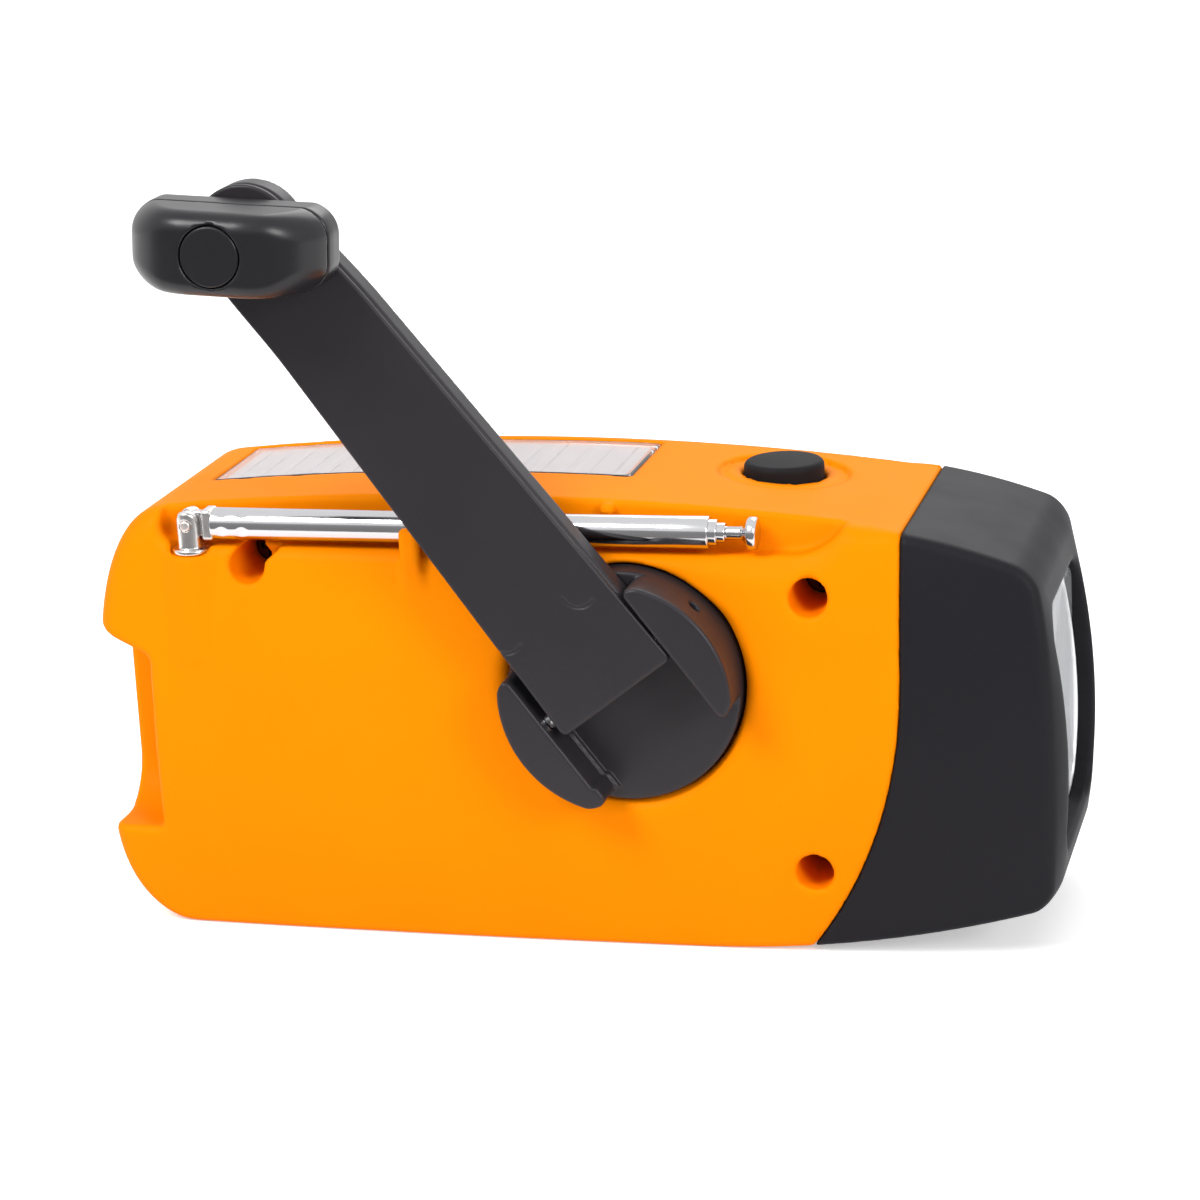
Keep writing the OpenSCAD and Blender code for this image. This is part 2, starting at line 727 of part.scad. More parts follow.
module bearing_bush() color("goldenrod") difference() {
    round_y(5, floor_y, cup_y + gap, [hub_x, hub_z]);
    round_y(shaft_d / 2 + run, floor_y - 1, cup_y + 1, [hub_x, hub_z]);
}
module gear_plate() color("silver") difference() {
    xz(plate_in, plate_in + plate_t) hull() {
        for (at = stands) translate(at) circle(stand_r, $fn = 32);
        translate(gen_c) circle(gen_d / 2, $fn = 32);
    }
    round_y(shaft_d / 2 + run, plate_in - 1, gen_y + 1, [hub_x, hub_z]);
    round_y(idler_axle_d / 2, plate_in - 1, gen_y + 1, idler_c);
    round_y(mod_b * teeth_pinion / 2 + 1.4, plate_in - 1, gen_y + 1, gen_c);
    for (at = stands) round_y(screw_d / 2 + run, plate_in - 1, gen_y + 1, at);
}
module gear_plate_screws() color("silver") for (at = stands) {
    round_y(2.1, gen_y, gen_y + 1.3, at);
    round_y(screw_d / 2, plate_in - 5, gen_y + 0.1, at);
}
module idler_axle() color("silver") round_y(idler_axle_d / 2, floor_y, gen_y, idler_c);
module generator_can() color("gray") difference() {
    round_y(gen_d / 2, gen_y, gen_y + gen_l, gen_c);
    round_y(gen_d / 2 - gen_wall, gen_y + gen_wall, gen_y + gen_l - gen_wall, gen_c);
    round_y(gen_shaft_d / 2 + run, gen_y - 1, gen_y + gen_l + 1, gen_c);
}
module battery_pack() color("lightblue")
    box([battery_x, battery_y, wall + gap / 2],
        [battery_x + battery_l, battery_y + battery_w, wall + battery_h]);

module main_board() color("darkgreen") difference() {
    box([main_x0, main_y, main_low], [main_x1, main_y + board_t, main_top]);
    for (at = main_posts) round_y(1.1, main_y - 1, main_y + board_t + 1, at);
}
module main_board_screws() color("silver") for (at = main_posts) {
    round_y(1.8, main_y - 1.2, main_y, at);
    round_y(0.85, main_y - 0.1, main_y + board_t + 5, at);
}
module tuning_capacitor() color("ivory") difference() {
    box([tune_x - var_w / 2, main_y + board_t, tune_z - var_w / 2],
        [tune_x + var_w / 2, split_y - var_gap, tune_z + var_w / 2]);
    round_y(2.5 + run, main_y + board_t + 2, split_y, [tune_x, tune_z]);
}
module volume_pot() color("gray") difference() {
    round_y(5.5, main_y + board_t, split_y - 3, [vol_x, vol_z]);
    round_y(2 + run, main_y + board_t + 1.5, split_y, [vol_x, vol_z]);
}
module band_switch() color("gray") difference() {
    box([band_x - 6.5, main_y + board_t, band_z - 2.6], [band_x + 6.5, main_y + board_t + 4, band_z + 2.6]);
    box([band_x - band_travel - 1.6, main_y + board_t + 1.5, band_z - 1.2],
        [band_x + band_travel + 1.6, split_y, band_z + 1.2]);
}
module switch_board() color("darkgreen")
    box([button_x - 8.8, button_y - 7.2, switch_z - 1.2], [button_x + 3.8, button_y + 8.4, switch_z]);
module lamp_switch() color("gray") {
    plunger = flange_top - flange_h - button_travel - gap;
    translate([button_x - 3, button_y - 3, switch_z]) cube([6, 6, plunger - 1 - switch_z]);
    translate([button_x, button_y, switch_z + 1]) cylinder(r = 1.5, h = plunger - switch_z - 1);
}
module speaker_frame() color("gray") translate([spk_x, spk_face, spk_z]) rotate([90, 0, 0]) rotate_extrude()
    polygon([
        [spk_d / 2 - 3, 0], [spk_d / 2, 0], [spk_d / 2, rim_t], [magnet_r + 1, basket_d],
        [magnet_r - 2, basket_d], [magnet_r - 2, basket_d - 1], [magnet_r + 0.6, basket_d - 1]
    ]);
module speaker_cone() color("black") translate([spk_x, spk_face, spk_z]) rotate([90, 0, 0]) rotate_extrude()
    polygon([
        [0, cone_d - 1], [dome_r, cone_d - 1.4], [spk_d / 2 - 3.7, 0], [spk_d / 2 - 3.3, 0],
        [magnet_r + 1.4, cone_d - 0.7], [dome_r + 1, cone_d], [0, cone_d]
    ]);
module speaker_magnet() color("dimgray") 
    round_y(magnet_r, spk_face - basket_d - magnet_t, spk_face - basket_d, [spk_x, spk_z]);
module ferrite_rod() color("dimgray") box_ferrite(0);
module antenna_coil() color("peru") difference() {
    translate([coil_x, ferrite_y, ferrite_z]) rotate([0, 90, 0])
        cylinder(d = ferrite_d + 2 * coil_t, h = coil_l);
    box_ferrite(run);
}
module port_board() color("darkgreen")
    box([port_pad + 5.4, port_mid() - 6, port_z - 9.5], [port_pad + 6.6, port_mid() + 6, port_z + 10]);
module charge_socket() color("silver") difference() {
    yz(x_tail + port_t + 0.6, port_pad + 5.4) translate([port_mid(), port_z + 5]) rounded(3.1, 8.2, 0.9);
    yz(x_tail, port_pad + 3) translate([port_mid(), port_z + 5]) rounded(2.3, 7.2, 0.7);
}
module phone_jack() color("#222222") difference() {
    union() {
        yz(port_pad, port_pad + 5.4) translate([port_mid(), port_z - 6]) square(6, center = true);
        yz(x_tail + port_t + 0.6, port_pad + 1) translate([port_mid(), port_z - 6]) circle(1.75);
    }
    yz(x_tail, port_pad + 4) translate([port_mid(), port_z - 6]) circle(1.4);
}

// Fork post with a slot for the tongue and a stem through the ledge
module antenna_post() color("silver") difference() {
    translate([post_x, rod_y, 0]) {
        translate([0, 0, ledge_z]) cylinder(r = post_r_fork, h = rod_z + 2.4 - ledge_z);
        translate([0, 0, ledge_z]) cylinder(r = post_r_fork + 0.5, h = 0.8);
        translate([0, 0, ledge_z - rabbet_wall - 0.6]) cylinder(r = stem_r, h = rabbet_wall + 1);
    }
    box([post_x - 4, rod_y - tongue_t / 2 - 0.1, ledge_z + 0.8],
        [post_x + 4, rod_y + tongue_t / 2 + 0.1, far / 2]);
    round_y(0.7, rod_y - 4, rod_y + 4, [post_x, rod_z]);
}
module antenna_hinge_pin() color("silver") round_y(0.7, rod_y - 2.1, rod_y + 2.1, [post_x, rod_z]);
module antenna_contact() color("goldenrod") difference() {
    box([post_x - stem_r, rod_y + stem_r + 0.15, ledge_z - rabbet_wall - contact_t],
        [screw_tail_x - boss_r - gap, rod_y + 5, ledge_z - rabbet_wall]);
    translate([post_x, rod_y, 0]) cylinder(r = stem_r, h = far / 2);
}

// Places on the crank are given along the arm and across it, from the hub centre
module on_arm(y0, y1) {
    xz(y0, y1) translate([hub_x, hub_z]) rotate(arm_dir) children();
}
module hinge_rod(r, v0, v1) {
    translate([hub_x, hinge_y, hub_z]) rotate([0, -arm_dir, 0]) translate([hinge_off, 0, 0])
        translate([0, 0, v0]) cylinder(r = r, h = v1 - v0);
}
module crank_hub() color("#38353a") difference() {
    union() {
        round_y(hub_r, plate_y, floor_y - gap, [hub_x, hub_z]);
        intersection() {
            round_y(hub_r, ear_y, plate_y + 1, [hub_x, hub_z]);
            on_arm(ear_y - 1, floor_y) for (s = [-1, 1])
                translate([-9, s < 0 ? -far : ear_gap]) square([19, far - ear_gap * (s < 0 ? 1 : 0)]);
        }
    }
    hinge_rod(hypot(hinge_end, arm_t / 2) + gap, -ear_gap, ear_gap);
    hinge_rod(hinge_d / 2, -hub_r + 1, hub_r - 1);
    round_y(shaft_d / 2, floor_y - 4.2, cup_y, [hub_x, hub_z]);
}
function hypot(a, b) = sqrt(a * a + b * b);
module arm_hinge_pin() color("silver") hinge_rod(hinge_d / 2, -hub_r + 1.2, hub_r - 1.2);
module crank_shaft() color("silver") round_y(shaft_d / 2, floor_y - 4.2, gen_y + 2, [hub_x, hub_z]);
module shaft_clip() color("silver") difference() {
    round_y(shaft_d / 2 + 1.6, gen_y + gap, gen_y + gap + 0.8, [hub_x, hub_z]);
    round_y(shaft_d / 2, gen_y, gen_y + 2, [hub_x, hub_z]);
}
module drive_gear() color("white") difference() {
    gear(mod_a, teeth_drive, gear_y, [hub_x, hub_z], idler_dir);
    round_y(shaft_d / 2, gear_y - 1, gear_y + gear_w + 1, [hub_x, hub_z]);
}
module idler_gear() color("white") difference() {
    union() {
        gear(mod_a, teeth_pinion, gear_y, idler_c, idler_dir + 180 + 180 / teeth_pinion);
        gear(mod_b, teeth_idler, idler_y, idler_c, gen_dir);
        round_y(idler_axle_d / 2 + 1, gear_y, plate_in - gap, idler_c);
    }
    round_y(idler_axle_d / 2 + run, gear_y - 1, plate_in, idler_c);
}
module generator_rotor() color("dimgray") {
    round_y(gen_shaft_d / 2, idler_y - gap, gen_y + gen_l, gen_c);
    round_y(gen_d / 2 - gen_wall - 0.8, gen_y + gen_wall + gap, gen_y + gen_l - gen_wall - gap, gen_c);
}
module rotor_pinion() color("goldenrod") difference() {
    gear(mod_b, teeth_pinion, idler_y, gen_c, gen_dir + 180 + 180 / teeth_pinion);
    round_y(gen_shaft_d / 2, idler_y - 1, plate_in, gen_c);
}

// Tapered arm outline with a square hub end and a round knob end
module arm_outline(inset = 0) {
    u0 = hinge_off - hinge_end + inset;
    w0 = arm_w / 2 - inset;
    w1 = arm_tip_w / 2 - inset;
    polygon([[u0, -w0], [arm_l, -w1], [arm_l, w1], [u0, w0]]);
    translate([arm_l, 0]) circle(arm_tip_w / 2 - inset);
}
function knob_at() = [hub_x, hub_z] + arm_l * [cos(arm_dir), sin(arm_dir)];
module crank_arm() color("#38353a") difference() {
    union() {
        on_arm(arm_out + arm_cover_t, arm_in) arm_outline();
        on_arm(arm_out + arm_cover_t, arm_in + 0.2) translate([arm_l, 0]) circle(arm_tip_w / 2 - 1);
    }
    hinge_rod(hinge_d / 2 + run, -far / 2, far / 2);
    round_y(axle_d / 2, -far / 4, arm_in - 1, knob_at());
}
module arm_cover() color("#38353a") difference() {
    union() {
        on_arm(arm_out, arm_out + arm_cover_t - 0.5) arm_outline();
        on_arm(arm_out + 0.5, arm_out + arm_cover_t) arm_outline(0.5);
    }
    hinge_rod(hinge_d / 2 + run, -far / 2, far / 2);
    round_y(axle_d / 2, -far / 4, 0, knob_at());
}
module knob_axle() color("silver") {
    round_y(axle_d / 2, grip_out + 3, arm_in - 1, knob_at());
    round_y(axle_d / 2 + 0.8, grip_out + 1.6, grip_out + 3, knob_at());
}
// Grip block, long along X and turned a little at rest, with a rounded outer side
module grip_form() {
    translate([knob_at()[0], 0, knob_at()[1]]) rotate([0, grip_turn, 0]) intersection() {
        xz(grip_out, grip_in) rounded(grip_l, grip_h, grip_r);
        translate([0, 0, -grip_h]) linear_extrude(2 * grip_h) blunt(grip_l, grip_nose);
        yz(-grip_l, grip_l) rotate(90) mirror([0, 1]) blunt(grip_h, grip_edge);
    }
}
// Outline of the grip's depth along Y, w wide, with its two outer corners rounded
module blunt(w, r) {
    for (s = [-1, 1]) translate([s * (w / 2 - r), grip_out + r]) circle(r, $fn = 96);
    translate([-w / 2, grip_out + r]) square([w, grip_d - r]);
    translate([r - w / 2, grip_out]) square([w - 2 * r, grip_d]);
}
module axle_room() {
    round_y(axle_d / 2 + run, grip_out + 2, 0, knob_at());
    round_y(axle_d / 2 + 1.1, grip_out + 1, grip_out + 3 + run, knob_at());
    round_y(cap_d / 2, -far / 4, grip_out + 1.2, knob_at());
}
module knob_grip() color("#38353a") difference() {
    grip_form();
    xz(grip_part, far / 4) square(2 * far, center = true);
    axle_room();
}
module knob_back() color("#38353a") difference() {
    grip_form();
    xz(-far / 4, grip_part) square(2 * far, center = true);
    axle_room();
}
module knob_cap() color("#2c2a2e") round_y(cap_d / 2, grip_out, grip_out + 1.2, knob_at());

// Telescopic rod: a tongue, an outer tube and three sections inside it
module along_rod(r, x0, x1) {
    translate([x0, rod_y, rod_z]) rotate([0, 90, 0]) cylinder(r = r, h = x1 - x0);
}
module antenna_tongue() color("silver") difference() {
    union() {
        along_rod(tube_r[0] - tube_wall, tube_x, tube_x + 3);
        intersection() {
            along_rod(tube_r[0] - tube_wall, post_x - 3, tube_x + 1);
            xz(rod_y - tongue_t / 2, rod_y + tongue_t / 2) {
                translate([post_x, rod_z]) circle(1.6);
                translate([post_x, rod_z - 1.6]) square([tube_x - post_x + 1, 3.2]);
            }
        }
    }
    round_y(0.7 + run, rod_y - 4, rod_y + 4, [post_x, rod_z]);
}
module antenna_tube() color("silver") difference() {
    along_rod(tube_r[0], tube_x, tube_end);
    along_rod(tube_r[0] - tube_wall, tube_x - 1, tube_end + 1);
}
module hollow_section(k) {
    difference() {
        along_rod(tube_r[k], tube_x + 4 + 2 * k, tube_end + k * step_l);
        along_rod(tube_r[k] - tube_wall, tube_x + 3, tip_x);
    }
}
module antenna_section_2() color("silver") hollow_section(1);
module antenna_section_3() color("silver") hollow_section(2);
module antenna_tip() color("silver") {
    along_rod(tube_r[3], tube_x + 10, tip_x - tip_t);
    along_rod(tube_r[0], tip_x - tip_t, tip_x);
}

module lamp_button() color("#38353a") translate([button_x, button_y, 0]) rotate_extrude() {
    edge = 1;
    translate([0, flange_top - flange_h]) square([button_d / 2 + 1, flange_h]);
    translate([0, flange_top - flange_h]) square([button_d / 2, button_top - edge - flange_top + flange_h]);
    translate([0, button_top - edge - 0.1]) square([button_d / 2 - edge, edge + 0.1]);
    translate([button_d / 2 - edge, button_top - edge]) intersection() {
        circle(edge);
        square(edge);
    }
}
// Round knob with finger grooves, on a stem that reaches its component
module turn_knob(d, at, stem_d, stem_y, grooves) {
    y0 = front(at[0], at[1]) + gap;
    difference() {
        union() {
            round_y(d / 2, y0, y0 + knob_h - 0.8, at);
            round_y(d / 2 - 0.8, y0, y0 + knob_h, at);
            round_y(stem_d / 2, stem_y, y0 + 1, at);
        }
        for (k = [0:grooves - 1]) round_y(0.8, y0 + 0.8, y0 + knob_h + 1,
            at + (d / 2 + 0.3) * [cos(360 * k / grooves), sin(360 * k / grooves)]);
    }
}
module tuning_knob() color("#38353a")
    turn_knob(tune_d, [tune_x, tune_z], 5, main_y + board_t + 2 + gap, 30);
module volume_knob() color("#38353a")
    turn_knob(vol_d, [vol_x, vol_z], 4, main_y + board_t + 1.5 + gap, 18);
module band_slider() color("#38353a") {
    y0 = front(band_x, band_z) + gap;
    box([band_x - 1.4, main_y + board_t + 2, band_z - 1], [band_x + 1.4, y0 + 0.5, band_z + 1]);
    xz(y0, y0 + 1.2) translate([band_x, band_z]) rounded(6.4, 4, 0.9);
    for (k = [-1:1]) xz(y0 + 1, y0 + 1.8) translate([band_x + 1.6 * k, band_z])
        square([0.7, 3.2], center = true);
}
module port_cover() color("#2b292c") difference() {
    union() {
        box([x_tail, port_y0 + gap, port_z - port_h / 2],
            [x_tail + port_t, port_y - gap, port_z + port_h / 2]);
        translate([x_tail + port_t / 2, port_y, port_z - port_h / 2]) cylinder(d = port_t, h = port_h);
    }
    box([x_tail - 1, port_y0 + 0.6, port_z - 3], [x_tail + 0.6, port_y0 + 1.6, port_z + 3]);
}

rear_housing();
front_cover();
lamp_head();
lamp_lens();
lamp_reflector();
lamp_leds();
lamp_board();
solar_window();
solar_cell();
case_screws();
bearing_bush();
gear_plate();
gear_plate_screws();
idler_axle();
generator_can();
battery_pack();
main_board();
main_board_screws();
tuning_capacitor();
volume_pot();
band_switch();
switch_board();
lamp_switch();
speaker_frame();
speaker_cone();
speaker_magnet();
ferrite_rod();
antenna_coil();
port_board();
charge_socket();
phone_jack();
antenna_post();
antenna_hinge_pin();
antenna_contact();
crank_hub();
arm_hinge_pin();
crank_shaft();
shaft_clip();
drive_gear();
idler_gear();
generator_rotor();
rotor_pinion();
crank_arm();
arm_cover();
knob_axle();
knob_grip();
knob_back();
knob_cap();
antenna_tongue();
antenna_tube();
antenna_section_2();
antenna_section_3();
antenna_tip();
lamp_button();
tuning_knob();
volume_knob();
band_slider();
port_cover();
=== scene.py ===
"""Looks of a hand-cranked solar radio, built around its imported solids.

Moulded pieces are meshed from rounded distance fields, so that every edge has the radius of a moulding.
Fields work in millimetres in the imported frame; meshes are made in metres.
"""

import json
import math

import bmesh
import bpy
import numpy as np
from mathutils import Matrix, Vector


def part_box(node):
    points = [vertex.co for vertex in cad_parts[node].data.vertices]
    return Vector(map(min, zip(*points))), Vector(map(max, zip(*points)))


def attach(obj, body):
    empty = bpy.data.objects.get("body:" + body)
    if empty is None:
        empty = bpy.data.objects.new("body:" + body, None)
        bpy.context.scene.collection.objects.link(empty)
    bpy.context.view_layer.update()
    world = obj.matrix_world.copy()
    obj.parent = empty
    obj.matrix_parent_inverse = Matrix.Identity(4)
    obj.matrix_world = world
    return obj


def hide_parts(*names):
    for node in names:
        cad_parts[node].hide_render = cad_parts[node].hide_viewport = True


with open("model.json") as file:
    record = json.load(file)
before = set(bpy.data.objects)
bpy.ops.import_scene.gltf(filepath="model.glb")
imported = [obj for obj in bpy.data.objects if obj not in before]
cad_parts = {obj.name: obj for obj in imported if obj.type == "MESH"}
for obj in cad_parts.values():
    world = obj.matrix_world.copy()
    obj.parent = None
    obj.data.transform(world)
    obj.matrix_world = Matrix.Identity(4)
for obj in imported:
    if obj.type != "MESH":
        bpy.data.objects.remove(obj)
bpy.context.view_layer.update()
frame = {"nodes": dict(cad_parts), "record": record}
nodes = frame["nodes"]
MM = 0.001

# Sizes of the radio in millimetres, with the lamp at +X and the crank at -Y

# Body: arched top and belly, bulging broad sides, tail corners, lamp face, edges and seams
X_TAIL, X_NOSE, BODY_H, BODY_T = -62.6, 62.2, 57.6, 41.6
BACK_R, FRONT_R, BACK_WAIST, FRONT_WAIST, WAIST_X, MID_Z = 130.0, 400.0, 1200.0, 2000.0, -10.0, 25.0
TOP_R, TOP_X, NOSE_R, NOSE_X, BELLY_R, BELLY_X = 440.0, -12.0, 90.0, 38.0, 140.0, 16.0
TAIL_RUN, TAIL_UP, TAIL_FULL, TAIL_LOW_RUN, TAIL_LOW = 9.0, 20.0, 2.35, 10.0, 15.5
FACE_R, FACE_Z, FACE_FLAT, FACE_SIDE_R, FACE_MID, FACE_REACH = 85.0, 24.0, 12.5, 9.0, 26.0, 22.0
EDGE_LOW, EDGE_UPPER, EDGE_TAIL, EDGE_FACE = 0.8, 1.5, 0.6, 2.4
SPLIT_Y, HEAD_X, HEAD_Z, HEAD_R = 17.4, 42.0, 36.0, 58.0
INSET, SPLIT_GAP, HEAD_GAP = 0.03, 0.03, 0.05

# Rabbet of the rod with its clip and nub, knob pocket, screws and the slot at the tail screw
RABBET_X, RABBET_Y, LEDGE_Z, SCOOP_END, SCOOP_R = -53.45, -13.7, 51.2, 36.5, 8.3
CLIP_X, CLIP_W, CLIP_TOP, CLIP_LOW, CLIP_FACE, CLIP_BACK = -19.2, 2.54, 54.6, 44.5, -19.85, -18.5
NUB_LOW, NUB_HIGH = (4.25, -14.9, 55.5), (6.15, -12.5, 56.9)
POCKET_X, POCKET_Y, POCKET_Z0, POCKET_Z1, POCKET_RISE, POCKET_COVE = -55.2, -7.4, 13.6, 36.8, 3.4, 6.5
SCREWS = ((30.8, 46.4), (30.8, 11.2), (-41.4, 49.0))
SEAT_Y, BORE_R = -7.0, 2.4
KEY_TURN, KEY_L, KEY_W, KEY_Y = math.radians(40), 4.8, 2.4, -14.9

# Crank: recess, hub with its ears, hinge, arm and knob
HUB_X, HUB_Z, RECESS_R, HUB_R, FLOOR_Y, PLATE_Y, HUB_BACK = 7.8, 35.2, 15.05, 14.75, -14.6, -20.5, -14.9
EAR_Y, EAR_BACK, EAR_GAP, EAR_L, EAR_STEP, FOOT_Y = -26.4, -16.0, 9.4, 19.7, 0.45, -21.3
NOTCH_U, NOTCH_Y, NOTCH_R = 2.9, -22.0, 0.8
HINGE_OFF, HINGE_Y, HINGE_END, HINGE_R, SWING_R = 2.3, -23.75, 2.4, 1.0, 3.9
ARM_DIR, ARM_L, ARM_IN, ARM_OUT, ARM_COVER = math.radians(127.0), 71.7, -21.2, -26.3, 1.4
ARM_W, ARM_TIP_W, ARM_SHIFT, AXLE_BORE = 17.4, 13.0, 0.55, 2.05
EJECTOR_MARKS, MARK_R, MARK_LINE = ((13.4, -5.4), (14.2, 5.8)), 2.2, 0.18
GRIP_L, GRIP_H, GRIP_IN, GRIP_OUT, GRIP_PART, GRIP_BORE = 25.0, 10.2, -26.6, -38.6, -31.0, 2.1
GRIP_NOSE, GRIP_EDGE, GRIP_END_EDGE, GRIP_TURN, CAP_R = 9.5, 2.4, 1.3, math.radians(3.4), 3.65
KNOB_AT = (HUB_X + ARM_L * math.cos(ARM_DIR), HUB_Z + ARM_L * math.sin(ARM_DIR))

# Antenna: fork post on its boss, tongue, rod and crimps
POST_X, POST_Z, POST_R, POST_SEAT_R, COLLAR_R, CHEEK_R = -49.25, 50.1, 1.85, 2.8, 2.5, 1.8
BOSS_Z, BOSS_R, FORK_GAP, PIN_R, TONGUE_R, TONGUE_T = 44.0, 2.7, 1.5, 0.7, 1.6, 1.28
ROD_Y, ROD_Z, ROD_R, ROD_STEP, TUBE_X, TUBE_END, TIP_X = -16.2, 54.0, 2.05, 0.4, -46.05, 18.55, 24.55
CRIMP_ROWS, CRIMP_START, CRIMP_COUNT, CRIMP_DEPTH, CRIMP_REACH = (1.7, 4.4), 56, 5, 0.13, 0.95

# Button with its dish, solar window and lamp
BUTTON_X, BUTTON_Y, BUTTON_R, BUTTON_UP, BUTTON_DOME, WELL_DEPTH = 23.4, 6.5, 5.15, 1.6, 60.0, 6.0
DISH_R, DISH_DEPTH, DISH_RING = 8.4, 0.65, 0.55
SOLAR_X, SOLAR_Y, SOLAR_L, SOLAR_W, SOLAR_DEPTH, SOLAR_LINES = -51.4, -1.6, 56.6, 17.8, 1.5, 17
LAMP_W, LAMP_H, LAMP_R, LAMP_Z, LENS_X, LENS_T = 28.0, 31.4, 4.5, 28.2, 57.7, 1.5
CUP_X, CUP_WALL, CUP_RIM, BOWL_R = 48.7, 0.65, 2.4, 30.0

# Port cover and sockets in the tail
PORT_Y0, PORT_Y1, PORT_Z, PORT_H, PORT_T, PORT_DEPTH, PORT_ROLL = 2.2, 14.9, 26.0, 21.0, 1.4, 5.0, 1.2
SOCKET_Y, CHARGE_Z, CHARGE_W, CHARGE_H, JACK_Z, JACK_R = 8.7, 31.0, 3.4, 8.6, 20.0, 1.8

# Speaker side: grille, band slider and finger knobs with their place, radius and count of ribs
GRILLE_X, GRILLE_Z, GRILLE_R, GRILLE_W, GRILLE_SLOTS, GRILLE_Y = -36.0, 29.0, 15.0, 1.8, 9, 16.0
BAND_X, BAND_Z, BAND_Y, BAND_FACE = -4.0, 40.0, 20.1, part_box("band_slider")[1][1] / MM
KNOBS = {"tuning_knob": (17.0, 30.0, 11.5, 30), "volume_knob": (-4.0, 17.0, 6.5, 18)}
KNOB_H, KNOB_WELL_Y, KNOB_GAP, KNOB_STEM_R, RIB_R = 4.4, 20.0, 1.0, 2.2, 0.5


# Distance fields


def keep(a, b, r=0.0):
    """What both fields hold, with the edge between them rounded to radius r."""
    u, v = np.maximum(a + r, 0), np.maximum(b + r, 0)
    return np.minimum(np.maximum(a, b), -r) + np.sqrt(u * u + v * v)


def cut(a, b, r=0.0):
    """Field a less field b."""
    return keep(a, -b, r)


def join(a, b, r=0.0):
    """Both fields together, with a fillet of radius r where they meet."""
    return -keep(-a, -b, r)


def bar(d, half):
    return np.abs(d) - half


def block(p, low, high, r=0.0):
    """Box with edges rounded to r, from its corners."""
    q = [np.abs(c - (a + b) / 2) - ((b - a) / 2 - r) for c, a, b in zip(p, low, high)]
    outside = np.sqrt(sum(np.maximum(c, 0) ** 2 for c in q))
    return outside + np.minimum(np.maximum(np.maximum(q[0], q[1]), q[2]), 0) - r


def tile(a, b, w, h, r):
    """Rounded rectangle of width w and height h about the origin of two coordinates."""
    qa, qb = np.abs(a) - (w / 2 - r), np.abs(b) - (h / 2 - r)
    return np.hypot(np.maximum(qa, 0), np.maximum(qb, 0)) + np.minimum(np.maximum(qa, qb), 0) - r


def drop(x, r):
    return np.where(x > 0, x * x / (2 * r), 0)


def ease(x, start, end):
    """Smooth step from 0 at start to 1 at end."""
    t = np.clip((x - start) / (end - start), 0, 1)
    return t * t * (3 - 2 * t)


def tail_corner(x, run, h, full=2.0):
    """Drop of a tail corner; a power above 2 makes it fuller than an ellipse."""
    q = np.clip(-(x - X_TAIL - run) / run, 0, 1)
    return h * (1 - (1 - q**full) ** (1 / full))


def top(x):
    arch = (x - TOP_X) ** 2 / (2 * TOP_R)
    return BODY_H - arch - drop(x - NOSE_X, NOSE_R) - tail_corner(x, TAIL_RUN, TAIL_UP, TAIL_FULL)


def top_at(x):
    return float(top(np.array(x)))


def bottom(x):
    return drop(x - BELLY_X, BELLY_R) + tail_corner(x, TAIL_LOW_RUN, TAIL_LOW)


class SideOutline:
    """Signed distance to the radio's side outline without its lamp face, kept on a fine grid."""

    STEP, LOW = 0.25, (-70.0, -8.0)
    COUNT = (572, 300)

    def __init__(self):
        up, low = (self.stations(run) for run in (TAIL_RUN, TAIL_LOW_RUN))
        ring = np.concatenate([np.c_[up, top(up)], np.c_[low, bottom(low)][::-1]])
        gx = self.LOW[0] + self.STEP * np.arange(self.COUNT[0])
        gz = self.LOW[1] + self.STEP * np.arange(self.COUNT[1])
        p = np.stack(np.meshgrid(gx, gz, indexing="ij"), -1).reshape(-1, 2)
        best, side = np.full(len(p), 1e9), np.full(len(p), -1e9)
        for a, b in zip(ring, np.roll(ring, -1, 0)):
            e = b - a
            if e @ e < 1e-12:
                continue
            q = p - a
            t = np.clip(q @ e / (e @ e), 0, 1)
            best = np.minimum(best, ((q - t[:, None] * e) ** 2).sum(1))
            side = np.maximum(side, (e[0] * q[:, 1] - e[1] * q[:, 0]) / math.sqrt(e @ e))
        self.table = (np.sqrt(best) * np.where(side > 0, 1, -1)).reshape(self.COUNT)

    @staticmethod
    def stations(run):
        tail = X_TAIL + run * (1 - np.cos(np.radians(np.arange(0, 90, 3.0))))
        return np.concatenate([tail, np.linspace(X_TAIL + run, 76, 90)])

    def __call__(self, x, z):
        x, z = np.broadcast_arrays(x, z)
        u = np.clip((x - self.LOW[0]) / self.STEP, 0, self.COUNT[0] - 1.001)
        v = np.clip((z - self.LOW[1]) / self.STEP, 0, self.COUNT[1] - 1.001)
        i, k = u.astype(int), v.astype(int)
        u, v, t = u - i, v - k, self.table
        low = t[i, k] * (1 - u) + t[i + 1, k] * u
        high = t[i, k + 1] * (1 - u) + t[i + 1, k + 1] * u
        return low * (1 - v) + high * v


side_outline = SideOutline()


def broad_side(p, r, w, sign):
    """Doubly curved broad side: a bulge of radius r turned at radius w about an upright axis."""
    x, y, z = p
    ring = np.sqrt((x - WAIST_X) ** 2 + (sign * y + w - BODY_T / 2) ** 2)
    return np.sqrt((ring - (w - r)) ** 2 + (z - MID_Z) ** 2) - r


